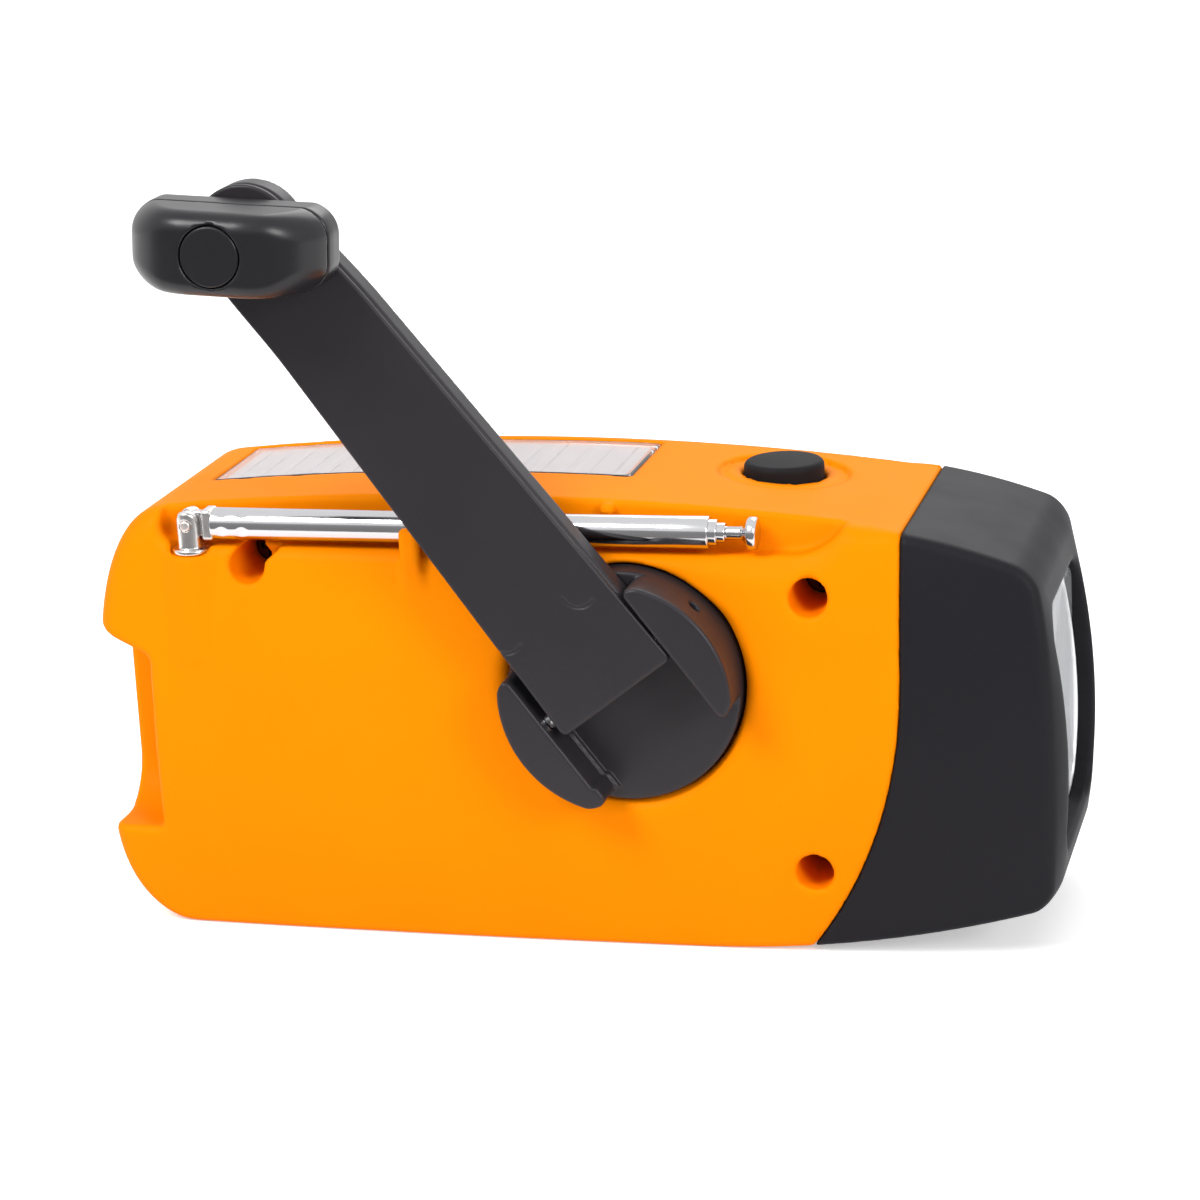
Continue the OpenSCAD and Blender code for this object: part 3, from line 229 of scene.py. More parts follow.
def lamp_face(x, z, y=0.0):
    """Arched face of the lamp, drawn back towards the broad sides and most so at middle height."""
    slope = (z - FACE_Z) / FACE_R
    fade = np.clip(1 - 0.75 * ((z - FACE_MID) / FACE_REACH) ** 2, 0, 1)
    back = drop(np.abs(y) - FACE_FLAT, FACE_SIDE_R) * fade
    return (x - X_NOSE + back + (z - FACE_Z) ** 2 / (2 * FACE_R)) / np.sqrt(1 + slope * slope)


def profile(x, z, y=0.0):
    """Side outline with its lamp face, at depth y."""
    return keep(side_outline(x, z), lamp_face(x, z, y), EDGE_FACE)


def body(p):
    """Outer form with its rounded edges: soft above and at the tail, tight below and at the head."""
    x, y, z = p
    sides = keep(broad_side(p, BACK_R, BACK_WAIST, -1), broad_side(p, FRONT_R, FRONT_WAIST, 1))
    upper = EDGE_UPPER * ease(z, 3, 20) * (1 - 0.75 * ease(x, HEAD_X - 5, HEAD_X + 1))
    return keep(profile(x, z, y), sides, EDGE_LOW + upper + EDGE_TAIL * ease(-x, 50, 60)) + INSET


def head_edge(x, z):
    """Distance ahead of the edge where the black head starts."""
    return np.where(z > HEAD_Z, x - HEAD_X, np.hypot(x - HEAD_X + HEAD_R, z - HEAD_Z) - HEAD_R)


def post_distance(x, y):
    return np.hypot(x - POST_X, y - ROD_Y)


def hinge_distance(x, z):
    return np.hypot(x - POST_X, z - ROD_Z)


def button_distance(x, y):
    return np.hypot(x - BUTTON_X, y - BUTTON_Y)


def axle_distance(x, z):
    return np.hypot(x - KNOB_AT[0], z - KNOB_AT[1])


def solar_tile(x, y, gap, r):
    """Plan of the solar window, widened by a gap."""
    return tile(x - SOLAR_X - SOLAR_L / 2, y - SOLAR_Y - SOLAR_W / 2, SOLAR_L + gap, SOLAR_W + gap, r)


def rabbet(p):
    """Trough of the stowed rod, with a scoop at its end."""
    x, y, z = p
    trough = keep(keep(x - SCOOP_END, LEDGE_Z - z, SCOOP_R), RABBET_X - x, 2.5)
    return keep(trough, y - RABBET_Y, 0.8)


def knob_pocket(p):
    """Pocket in the tail with a floor that sweeps up into its inner wall."""
    x, y, z = p
    slope = POCKET_RISE / (POCKET_X - X_TAIL)
    roof = (z - POCKET_Z1 - (POCKET_X - x) * slope) / math.hypot(1, slope)
    cove = keep(POCKET_Z0 - z, y - POCKET_Y, POCKET_COVE)
    return keep(keep(cove, x - POCKET_X, 0.8), roof, 0.8)


def rod_clip(p):
    """Tab that holds the rod, with a foot that runs out in the wall."""
    x, y, z = p
    face = (CLIP_FACE + 0.3 * np.maximum(LEDGE_Z - 0.7 - z, 0) - y) / 1.04
    back = y - CLIP_BACK - 2.2 * ease(LEDGE_Z - 0.3 - z, 0, 1)
    slab = keep(keep(bar(x - CLIP_X, CLIP_W / 2), z - CLIP_TOP, 0.7), keep(face, back, 0.3), 0.4)
    return keep(slab, CLIP_LOW - z)


def keyhole(p, sx, sz):
    """Slot from the tail screw's bore up into the rabbet."""
    x, y, z = p
    c, s = math.cos(KEY_TURN), math.sin(KEY_TURN)
    u, v = (x - sx) * c + (z - sz) * s, (z - sz) * c - (x - sx) * s
    return keep(keep(keep(bar(v, KEY_W / 2), u - KEY_L, 0.8), -u, 0.1), y - KEY_Y, 0.3)


def button_dish(p):
    """Shallow dish round the button, deepest in a ring at its edge."""
    x, y, z = p
    r = button_distance(x, y)
    depth = DISH_DEPTH * (1 - DISH_RING + DISH_RING * ease(r, DISH_R - 1.6, DISH_R - 0.4))
    return keep(r - DISH_R, -profile(x, z) - depth)


def cut_sockets(f, p):
    """Cuts the recess of the port cover and the openings of the two sockets."""
    x, y, z = p
    end = PORT_Y1 + PORT_ROLL
    recess = tile(y - (PORT_Y0 + end) / 2, z - PORT_Z, end - PORT_Y0, PORT_H + 0.6, 0.6)
    f = cut(f, keep(recess, x - X_TAIL - PORT_T - 0.15), 0.25)
    depth = x - X_TAIL - PORT_DEPTH
    f = cut(f, keep(tile(y - SOCKET_Y, z - CHARGE_Z, CHARGE_W, CHARGE_H, 1.2), depth), 0.15)
    return cut(f, keep(np.hypot(y - SOCKET_Y, z - JACK_Z) - JACK_R, depth), 0.15)


def rear_shell(p):
    """Tub with the rabbet, pocket, hub recess, screw bores, button well, window and sockets."""
    x, y, z = p
    boss = keep(post_distance(x, y) - BOSS_R, bar(z - BOSS_Z, LEDGE_Z - BOSS_Z), 0.3)
    f = join(body(p), boss, 2.0)
    f = cut(f, rabbet(p), 0.5 + (1.0 + 2.0 * ease(x, 12, 26)) * ease(-y, 15, 18))
    f = cut(f, keep(post_distance(x, y) - POST_SEAT_R, POST_Z - z), 0.3)
    f = cut(f, knob_pocket(p), 0.9)
    recess = keep(np.hypot(x - HUB_X, z - HUB_Z) - RECESS_R, y - FLOOR_Y, 0.4)
    f = cut(f, recess, 2.0 - 1.2 * ease(z, 43, 48))
    for sx, sz in SCREWS:
        f = cut(f, keep(np.hypot(x - sx, z - sz) - BORE_R, y - SEAT_Y, 0.2), 0.4)
    f = cut(f, keyhole(p, *SCREWS[2]), 0.35)
    f = cut(f, button_dish(p), 0.12)
    well = keep(button_distance(x, y) - BUTTON_R - 0.25, top_at(BUTTON_X) - WELL_DEPTH - z)
    f = cut(f, well, 0.2)
    f = cut(f, keep(solar_tile(x, y, 0.1, 0.55), -profile(x, z) - SOLAR_DEPTH), 0.25)
    f = cut_sockets(f, p)
    f = join(f, rod_clip(p), 0.9)
    f = join(f, block(p, NUB_LOW, NUB_HIGH, 0.5), 0.15)
    f = keep(f, head_edge(x, z) + HEAD_GAP, 0.3)
    return keep(f, y - SPLIT_Y + SPLIT_GAP, 0.25)


def head_shell(p):
    """Black head with the lamp opening."""
    x, y, z = p
    f = keep(body(p), HEAD_GAP - head_edge(x, z), 0.3)
    opening = tile(y, z - LAMP_Z, LAMP_W, LAMP_H, LAMP_R)
    return cut(f, keep(opening, CUP_X - 1 - x, 0.1), 0.8)


def front_shell(p):
    """Speaker side with a round grille of upright slots, wells of the knobs and the slider's slot."""
    x, y, z = p
    f = keep(keep(body(p), SPLIT_Y + SPLIT_GAP - y, 0.25), head_edge(x, z) + HEAD_GAP, 0.3)
    for k in range(GRILLE_SLOTS):
        off = (k - (GRILLE_SLOTS - 1) / 2) * 2 * GRILLE_R / (GRILLE_SLOTS + 0.5)
        h = 2 * math.sqrt(GRILLE_R**2 - off**2)
        slot = tile(x - GRILLE_X - off, z - GRILLE_Z, GRILLE_W, h, GRILLE_W / 2 - 0.02)
        f = cut(f, keep(slot, GRILLE_Y - y), 0.3)
    for kx, kz, r, _ in KNOBS.values():
        f = cut(f, keep(np.hypot(x - kx, z - kz) - r - KNOB_GAP, KNOB_WELL_Y - y, 0.3), 0.5)
        f = cut(f, np.hypot(x - kx, z - kz) - KNOB_STEM_R - 0.4)
    f = cut(f, keep(tile(x - BAND_X, z - BAND_Z, 12.6, 5.2, 1.6), BAND_Y - y, 0.2), 0.4)
    return cut(f, tile(x - BAND_X, z - BAND_Z, 9.6, 2.6, 1.2))


def window_pane(p):
    """Arched clear pane that lies in the top."""
    x, y, z = p
    depth = profile(x, z)
    return keep(keep(solar_tile(x, y, 0.0, 0.5), depth + 0.12, 0.3), 0.12 - SOLAR_DEPTH - depth)


def lens_pane(p):
    x, y, z = p
    pane = tile(y, z - LAMP_Z, LAMP_W - 1.5, LAMP_H - 1.5, LAMP_R - 0.75)
    return keep(pane, bar(x - LENS_X - LENS_T / 2, LENS_T / 2 - 0.01), 0.3)


def reflector_cup(p):
    """Silvered bowl behind the lens, with a rim that lines the opening."""
    x, y, z = p
    w = z - LAMP_Z
    rim = keep(CUP_X - x, lamp_face(x, z, y) + CUP_RIM)
    outer = keep(tile(y, w, LAMP_W - 0.1, LAMP_H - 0.1, LAMP_R), rim, 0.2)
    bowl = CUP_X + 0.8 + (y * y + w * w) / (2 * BOWL_R) - x
    inner = tile(y, w, LAMP_W - 2 * CUP_WALL, LAMP_H - 2 * CUP_WALL, LAMP_R - 0.6)
    return cut(outer, keep(inner, bowl, 1.0), 0.2)


def arm_uv(x, z):
    """Along the arm and across it, from the hub's centre."""
    dx, dz, c, s = x - HUB_X, z - HUB_Z, math.cos(ARM_DIR), math.sin(ARM_DIR)
    return dx * c + dz * s, dz * c - dx * s


def hub(p):
    """Disc with a flat seat for the arm between two ears; the left ear has a stepped foot."""
    x, y, z = p
    u, v = arm_uv(x, z)
    disc = np.hypot(u, v) - HUB_R
    f = keep(disc, keep(PLATE_Y - y, y - HUB_BACK), 0.35)
    length, height = bar(u - 0.15, EAR_L / 2), keep(EAR_Y - y, y - EAR_BACK)
    step = EAR_STEP * ease(-u, 7.3, 7.5)
    left = keep(keep(keep(disc, EAR_GAP - v - step, 0.3), length, 1.0), height, 0.4)
    foot = keep(keep(disc, EAR_GAP - EAR_STEP - v - step), keep(length, FOOT_Y - y), 0.1)
    right = keep(keep(keep(disc, EAR_GAP + v, 0.3), length, 1.0), height, 0.5)
    f = join(join(join(f, keep(foot, y - EAR_BACK)), left), right)
    hinge = np.hypot(u - HINGE_OFF, y - HINGE_Y)
    f = cut(f, keep(hinge - SWING_R, bar(v, EAR_GAP - 0.1)), 0.2)
    f = cut(f, keep(hinge - HINGE_R, bar(v, HUB_R - 1.0)))
    notch = np.hypot(u - NOTCH_U, y - NOTCH_Y) - NOTCH_R
    return cut(f, keep(notch, v + HUB_R - 1.35), 0.15)


def arm_side(u, v, inset=0.0):
    """Tapered outline with a square end at the hub and a round end at the knob."""
    v = v + ARM_SHIFT * (1 - ease(u, 56, 70))
    slope = (ARM_W - ARM_TIP_W) / 2 / ARM_L
    flank = (np.abs(v) - ARM_W / 2 + slope * np.maximum(u, 0)) / math.hypot(1, slope)
    straight = keep(keep(flank, u - ARM_L), HINGE_OFF - HINGE_END - u, 0.8)
    return np.minimum(straight, np.hypot(u - ARM_L, v) - ARM_TIP_W / 2) + inset


def hinge_bore(f, u, y):
    return cut(f, np.hypot(u - HINGE_OFF, y - HINGE_Y) - HINGE_R - 0.05)


def arm_bar(p):
    x, y, z = p
    u, v = arm_uv(x, z)
    f = keep(arm_side(u, v), keep(y - ARM_IN, ARM_OUT + ARM_COVER + 0.02 - y), 0.5)
    return hinge_bore(f, u, y)


def arm_plate(p):
    """Cover of the arm: a lid over a slightly smaller tray, with two faint moulding marks."""
    x, y, z = p
    u, v = arm_uv(x, z)
    lid = keep(arm_side(u, v), keep(y - ARM_OUT - 0.95, ARM_OUT - y), 0.3)
    tray = keep(arm_side(u, v, 0.45), keep(y - ARM_OUT - ARM_COVER + 0.02, ARM_OUT + 0.5 - y), 0.1)
    f = join(lid, tray)
    for cu, cv in EJECTOR_MARKS:
        ring = np.abs(np.hypot(u - cu, v - cv) - MARK_R) - MARK_LINE
        below = z - HUB_Z - cu * math.sin(ARM_DIR) - cv * math.cos(ARM_DIR) + 0.9
        f = cut(f, keep(keep(ring, below), y - ARM_OUT - MARK_LINE), 0.08)
    return hinge_bore(cut(f, np.hypot(u - ARM_L, v) - AXLE_BORE), u, y)


def grip_ab(x, z):
    """Along the grip and across it, from the knob's axle."""
    dx, dz, c, s = x - KNOB_AT[0], z - KNOB_AT[1], math.cos(GRIP_TURN), math.sin(GRIP_TURN)
    return dx * c - dz * s, dx * s + dz * c


def grip(p):
    """Block of the knob, rounded at its outer ends and softer along its outer edges."""
    x, y, z = p
    a, b = grip_ab(x, z)
    plan = keep(bar(a, GRIP_L / 2), GRIP_OUT - y, GRIP_NOSE)
    f = keep(bar(b, GRIP_H / 2), plan, GRIP_EDGE + GRIP_END_EDGE * ease(np.abs(a), 6, 11))
    return keep(f, y - GRIP_IN, 0.9)


def grip_block(p):
    x, y, z = p
    f = keep(grip(p), y - GRIP_PART + 0.05, 0.25)
    f = cut(f, keep(axle_distance(x, z) - CAP_R - 0.14, y - GRIP_OUT - 1.2), 0.2)
    return cut(f, axle_distance(x, z) - GRIP_BORE)


def grip_collar(p):
    x, y, z = p
    f = keep(grip(p), GRIP_PART + 0.05 - y, 0.25)
    return cut(f, axle_distance(x, z) - GRIP_BORE)


def grip_plug(p):
    x, y, z = p
    disc = axle_distance(x, z) - CAP_R
    return keep(disc, keep(GRIP_OUT + 0.08 - y, y - GRIP_OUT - 1.18), 0.25)


def button(p):
    """Domed button with a flange below the top."""
    x, y, z = p
    crown, r = top_at(BUTTON_X) + BUTTON_UP, button_distance(x, y)
    dome = np.sqrt(r * r + (z - crown + BUTTON_DOME) ** 2) - BUTTON_DOME
    f = keep(keep(r - BUTTON_R, dome, 0.7), crown - 5.4 - z)
    return join(f, keep(r - BUTTON_R - 1.0, bar(z - crown + 4.9, 0.5)), 0.1)


def fork_post(p):
    """Round post with a collar below and two rounded cheeks about the rod's hinge."""
    x, y, z = p
    r = post_distance(x, y)
    arch = np.where(z > ROD_Z, hinge_distance(x, z), np.abs(x - POST_X)) - CHEEK_R
    f = keep(keep(r - POST_R, arch, 0.5), POST_Z - z)
    f = cut(f, keep(bar(y - ROD_Y, FORK_GAP / 2), LEDGE_Z + 0.9 - z), 0.15)
    f = join(f, keep(r - COLLAR_R, bar(z - POST_Z - 0.4, 0.4), 0.3), 0.15)
    return cut(f, hinge_distance(x, z) - PIN_R)


def fork_pin(p):
    """Rivet through the fork, with domed ends."""
    x, y, z = p
    return keep(hinge_distance(x, z) - PIN_R + 0.01, bar(y - ROD_Y, 2.08), 0.3)


def knuckle(p):
    """Tongue in the fork with a shoulder that carries the tube."""
    x, y, z = p
    eye = hinge_distance(x, z) - TONGUE_R
    low, high = (POST_X, ROD_Y - 3, ROD_Z - TONGUE_R), (TUBE_X, ROD_Y + 3, ROD_Z + TONGUE_R)
    f = keep(np.minimum(eye, block(p, low, high)), bar(y - ROD_Y, TONGUE_T / 2), 0.1)
    low, high = (POST_X + 1.95, ROD_Y - 1.5, ROD_Z - 2.0), (TUBE_X + 0.3, ROD_Y + 1.5, ROD_Z + 2.0)
    f = join(f, block(p, low, high, 0.5), 0.1)
    return cut(f, hinge_distance(x, z) - PIN_R - 0.05)


def band_key(p):
    """Slider with three finger ribs and a stem through its slot."""
    x, y, z = p
    f = keep(tile(x - BAND_X, z - BAND_Z, 6.4, 4.0, 0.9), bar(y - BAND_FACE + 1.2, 0.6), 0.3)
    for k in (-1, 0, 1):
        rib = BAND_X + 1.6 * k
        low, high = (rib - 0.35, BAND_FACE - 1.2, BAND_Z - 1.6), (rib + 0.35, BAND_FACE, BAND_Z + 1.6)
        f = join(f, block(p, low, high, 0.25), 0.15)
    low, high = (BAND_X - 1.4, 12.0, BAND_Z - 1), (BAND_X + 1.4, BAND_FACE - 1.0, BAND_Z + 1)
    return join(f, block(p, low, high, 0.2))


def port_lid(p):
    """Soft lid over the sockets with a rolled hinge and a finger notch."""
    x, y, z = p
    half = PORT_H / 2
    low, high = (X_TAIL + 0.02, PORT_Y0 + 0.3, PORT_Z - half), (X_TAIL + PORT_T, PORT_Y1 - 0.3, PORT_Z + half)
    f = block(p, low, high, 0.45)
    barrel = np.hypot(x - X_TAIL - PORT_T / 2, y - PORT_Y1) - PORT_T / 2 + 0.01
    f = join(f, keep(barrel, bar(z - PORT_Z, half), 0.2), 0.2)
    low, high = (X_TAIL - 1, PORT_Y0 + 0.6, PORT_Z - 3), (X_TAIL + 0.6, PORT_Y0 + 1.6, PORT_Z + 3)
    return cut(f, block(p, low, high, 0.2), 0.15)


def screw_head(p):
    """Pan head with a cross recess, about the origin, looking along -Y."""
    x, y, z = p
    f = keep(np.hypot(x, z) - 2.1, keep(-1.5 - y, y), 0.4)
    level = block(p, (-1.3, -3, -0.35), (1.3, -0.8, 0.35))
    upright = block(p, (-0.35, -3, -1.3), (0.35, -0.8, 1.3))
    return cut(f, np.minimum(level, upright), 0.1)


# Meshing


def gradient(field, p, e=0.02):
    f = field(p)
    g = [(field([c + e * (k == n) for n, c in enumerate(p)]) - f) / e for k in range(3)]
    return f, np.stack(g, -1)


def onto(field, v, reach):
    """Moves points onto the field's surface."""
    for _ in range(4):
        f, g = gradient(field, list(v.T))
        move = (f / np.maximum((g * g).sum(1), 0.05))[:, None] * g
        size = np.linalg.norm(move, axis=1, keepdims=True)
        v = v - move * np.minimum(1, reach / np.maximum(size, 1e-9))
    return v


def even_out(v, quads, field, reach, rounds=3):
    """Slides points along the surface to the middle of their neighbours."""
    a = quads.reshape(-1)
    b = np.roll(quads, -1, 1).reshape(-1)
    count = np.bincount(a, minlength=len(v)) + np.bincount(b, minlength=len(v))
    for _ in range(rounds):
        near = [np.bincount(a, v[b, k], len(v)) + np.bincount(b, v[a, k], len(v)) for k in range(3)]
        move = np.stack(near, -1) / count[:, None] - v
        _, g = gradient(field, list(v.T))
        g /= np.maximum(np.linalg.norm(g, axis=1, keepdims=True), 1e-9)
        v = onto(field, v + 0.6 * (move - (move * g).sum(1, keepdims=True) * g), reach)
    return v


def surface(field, low, high, cell):
    """Quads of a field's surface: one point in each cell that the surface crosses."""
    axes = [np.arange(a - 2 * cell, b + 2 * cell, cell) for a, b in zip(low, high)]
    grid = [axes[0][:, None, None], axes[1][None, :, None], axes[2][None, None, :]]
    f = np.broadcast_to(field(grid), [len(a) for a in axes]).astype(np.float32)
    inside = f < 0
    corners = [(i, j, k) for i in (0, 1) for j in (0, 1) for k in (0, 1)]
    n = [s - 1 for s in f.shape]
    part = [np.s_[i : i + n[0], j : j + n[1], k : k + n[2]] for i, j, k in corners]
    total = sum(inside[s].astype(np.int8) for s in part)
    cells = np.argwhere((total > 0) & (total < 8))
    value = [f[tuple((cells + c).T)] for c in corners]
    place, hits = np.zeros((len(cells), 3)), np.zeros(len(cells))
    for m, a in enumerate(corners):
        for q, b in enumerate(corners):
            if sum(abs(np.subtract(a, b))) == 1 and m < q:
                cross = (value[m] < 0) != (value[q] < 0)
                t = np.where(cross, value[m] / np.where(cross, value[m] - value[q], 1), 0)[:, None]
                place += np.where(cross[:, None], np.array(a) + t * np.subtract(b, a), 0)
                hits += cross
    origin = np.array([a[0] for a in axes])
    v = origin + (cells + place / hits[:, None]) * cell
    index = np.full(n, -1, np.int64)
    index[tuple(cells.T)] = np.arange(len(cells))
    quads = []
    for axis in range(3):
        one, two = (axis + 1) % 3, (axis + 2) % 3
        here = [slice(None)] * 3
        there = [slice(None)] * 3
        here[axis], there[axis] = slice(0, -1), slice(1, None)
        a, b = inside[tuple(here)], inside[tuple(there)]
        at = np.argwhere(a != b)
        at = at[(at[:, one] > 0) & (at[:, two] > 0) & (at[:, one] < n[one]) & (at[:, two] < n[two])]
        steps = np.zeros((4, 3), int)
        steps[1, one] = steps[2, one] = steps[2, two] = steps[3, two] = -1
        ring = np.stack([index[tuple((at + s).T)] for s in steps], -1)
        flip = a[tuple(at.T)]
        quads.append(np.where(flip[:, None], ring, ring[:, ::-1]))
    return v, np.concatenate(quads)


def mesh_object(name, v, faces):
    mesh = bpy.data.meshes.new(name)
    mesh.vertices.add(len(v))
    mesh.vertices.foreach_set("co", (v * MM).astype(np.float32).ravel())
    mesh.loops.add(faces.size)
    mesh.loops.foreach_set("vertex_index", faces.astype(np.int32).ravel())
    mesh.polygons.add(len(faces))
    mesh.polygons.foreach_set("loop_start", np.arange(0, faces.size, 4, dtype=np.int32))
    mesh.polygons.foreach_set("use_smooth", np.ones(len(faces), bool))
    mesh.update(calc_edges=True)
    mesh.validate()
    return linked(name, mesh)


def linked(name, data):
    obj = bpy.data.objects.new(name, data)
    bpy.context.scene.collection.objects.link(obj)
    return obj


def moulded(name, field, low, high, cell, hollow=None):
    """Mesh of a moulded piece; hollow gives the wall of a shell with an inner space."""
    v, q = surface(field, low, high, cell)
    v = even_out(onto(field, v, 0.5 * cell), q, field, 0.5 * cell)
    if hollow:
        wall, coarse = hollow

        def room(p):
            return field(p) + wall

        iv, iq = surface(room, low, high, coarse)
        v, q = np.concatenate([v, iv]), np.concatenate([q, iq[:, ::-1] + len(v)])
    return mesh_object(name, v, q)


def turned(name, outline, turns=72, dents=()):
    """Closed turning about the rod's axis from (place, radius) pairs, with dents at (place, angle)."""
    rows = np.array([(x, max(r, 1e-3)) for x, r in outline])
    a = np.linspace(0, 2 * np.pi, turns, endpoint=False)
    x, r = np.repeat(rows[:, :1], turns, 1), np.repeat(rows[:, 1:], turns, 1)
    for at, angle in dents:
        away = np.hypot(x - at, r * ((a - angle + np.pi) % (2 * np.pi) - np.pi))
        r = r - CRIMP_DEPTH * (1 - ease(away, 0.0, CRIMP_REACH))
    v = np.stack([x, ROD_Y - r * np.cos(a), ROD_Z + r * np.sin(a)], -1).reshape(-1, 3)
    i, k = np.meshgrid(np.arange(len(rows) - 1), np.arange(turns), indexing="ij")
    here, ahead, n = i * turns, (i + 1) * turns, (k + 1) % turns
    quads = np.stack([here + k, ahead + k, ahead + n, here + n], -1).reshape(-1, 4)
    obj = mesh_object(name, v, quads)
    shape = bmesh.new()
    shape.from_mesh(obj.data)
    bmesh.ops.remove_doubles(shape, verts=shape.verts, dist=3e-6)
    bmesh.ops.recalc_face_normals(shape, faces=shape.faces)
    shape.to_mesh(obj.data)
    shape.free()
    obj.data.set_sharp_from_angle(angle=math.radians(40))
    return obj


def smoothed(name, node):
    """Merged and smooth-shaded copy of a solid."""
    shape = bmesh.new()
    shape.from_mesh(nodes[node].data)
    bmesh.ops.remove_doubles(shape, verts=shape.verts, dist=2e-6)
    mesh = bpy.data.meshes.new(name)
    shape.to_mesh(mesh)
    shape.free()
    mesh.polygons.foreach_set("use_smooth", np.ones(len(mesh.polygons), bool))
    mesh.set_sharp_from_angle(angle=math.radians(32))
    return linked(name, mesh)


# Finishes


class Finish:
    """A node material that is written step by step."""

    def __init__(self, name):
        self.material = bpy.data.materials.new(name)
        self.material.use_nodes = True
        self.tree = self.material.node_tree
        self.shader = self.tree.nodes["Principled BSDF"]
        self.where = self.add("ShaderNodeTexCoord").outputs["Object"]

    def add(self, kind, **values):
        node = self.tree.nodes.new(kind)
        for key, value in values.items():
            if key in node.inputs:
                node.inputs[key].default_value = value
            else:
                setattr(node, key, value)
        return node

    def link(self, a, b):
        self.tree.links.new(a, b)

    def set(self, **values):
        for key, value in values.items():
            self.shader.inputs[key.replace("_", " ")].default_value = value
        return self

    def noise(self, scale, detail=2.0, rough=0.5):
        node = self.add("ShaderNodeTexNoise", Scale=scale, Detail=detail, Roughness=rough)
        self.link(self.where, node.inputs["Vector"])
        return node.outputs["Fac"]

    def spread(self, value, low, high, start=0.3, end=0.7):
        node = self.add("ShaderNodeMapRange")
        for key, x in (("From Min", start), ("From Max", end), ("To Min", low), ("To Max", high)):
            node.inputs[key].default_value = x
        self.link(value, node.inputs["Value"])
        return node.outputs["Result"]

    def rough(self, scale, low, high):
        self.link(self.spread(self.noise(scale, 3.0), low, high), self.shader.inputs["Roughness"])
        return self

    def tint(self, scale, one, two):
        ramp = self.add("ShaderNodeValToRGB")
        ramp.color_ramp.elements[0].position, ramp.color_ramp.elements[1].position = 0.3, 0.7
        ramp.color_ramp.elements[0].color, ramp.color_ramp.elements[1].color = (*one, 1), (*two, 1)
        self.link(self.noise(scale), ramp.inputs["Fac"])
        self.link(ramp.outputs["Color"], self.shader.inputs["Base Color"])
        return self

    def grain(self, scale, height, strength=1.0, detail=3.0):
        bump = self.add("ShaderNodeBump", Strength=strength, Distance=height)
        self.link(self.noise(scale, detail), bump.inputs["Height"])
        self.link(bump.outputs["Normal"], self.shader.inputs["Normal"])
        return self


def shade(color, k):
    return tuple(c * k for c in color)


def plastic(name, color, rough, scale=900.0, height=0.00002, vary=0.05, specular=0.5):
    f = Finish(name).set(Specular_IOR_Level=specular)
    f.tint(60.0, shade(color, 1 - vary), shade(color, 1 + vary))
    return f.rough(140.0, rough - 0.02, rough + 0.025).grain(scale, height).material


def metal(name, color, rough, scale=400.0, height=0.000004):
    f = Finish(name).set(Metallic=1.0)
    f.tint(90.0, shade(color, 0.95), color)
    return f.rough(200.0, rough * 0.7, rough * 1.4).grain(scale, height).material


def clear(name, color, rough, ior=1.49):
    f = Finish(name).set(Transmission_Weight=1.0, IOR=ior)
    f.tint(40.0, shade(color, 0.98), color)
    return f.rough(220.0, rough * 0.6, rough * 1.4).material


def thin_clear(name, color, rough):
    """Thin clear cover that light passes straight through."""
    f = Finish(name).set(Alpha=0.14)
    f.tint(40.0, shade(color, 0.98), color)
    return f.rough(220.0, rough * 0.6, rough * 1.4).material


def silvered(name, color, rough):
    """Metallised plastic that scatters part of the light."""
    f = Finish(name).set(Metallic=0.75)
    f.tint(90.0, shade(color, 0.98), color)
    return f.rough(200.0, rough * 0.95, rough * 1.05).material


def cell_finish(name):
    """Pale cell with faint bands across."""
    f = Finish(name).set(Roughness=0.3, Coat_Weight=0.3)
    lines = f.add("ShaderNodeTexWave", Scale=55.0, Distortion=0.0, wave_type="BANDS", bands_direction="X")
    f.link(f.where, lines.inputs["Vector"])
    fine = f.spread(lines.outputs["Fac"], 0.0, 1.0, 0.985, 0.998)
    mix = f.add("ShaderNodeMix", data_type="RGBA")
    mix.inputs[6].default_value, mix.inputs[7].default_value = (0.74, 0.67, 0.685, 1), (0.82, 0.78, 0.79, 1)
    f.link(fine, mix.inputs[0])
    f.link(mix.outputs[2], f.shader.inputs["Base Color"])
    return f.grain(500.0, 0.000004).material


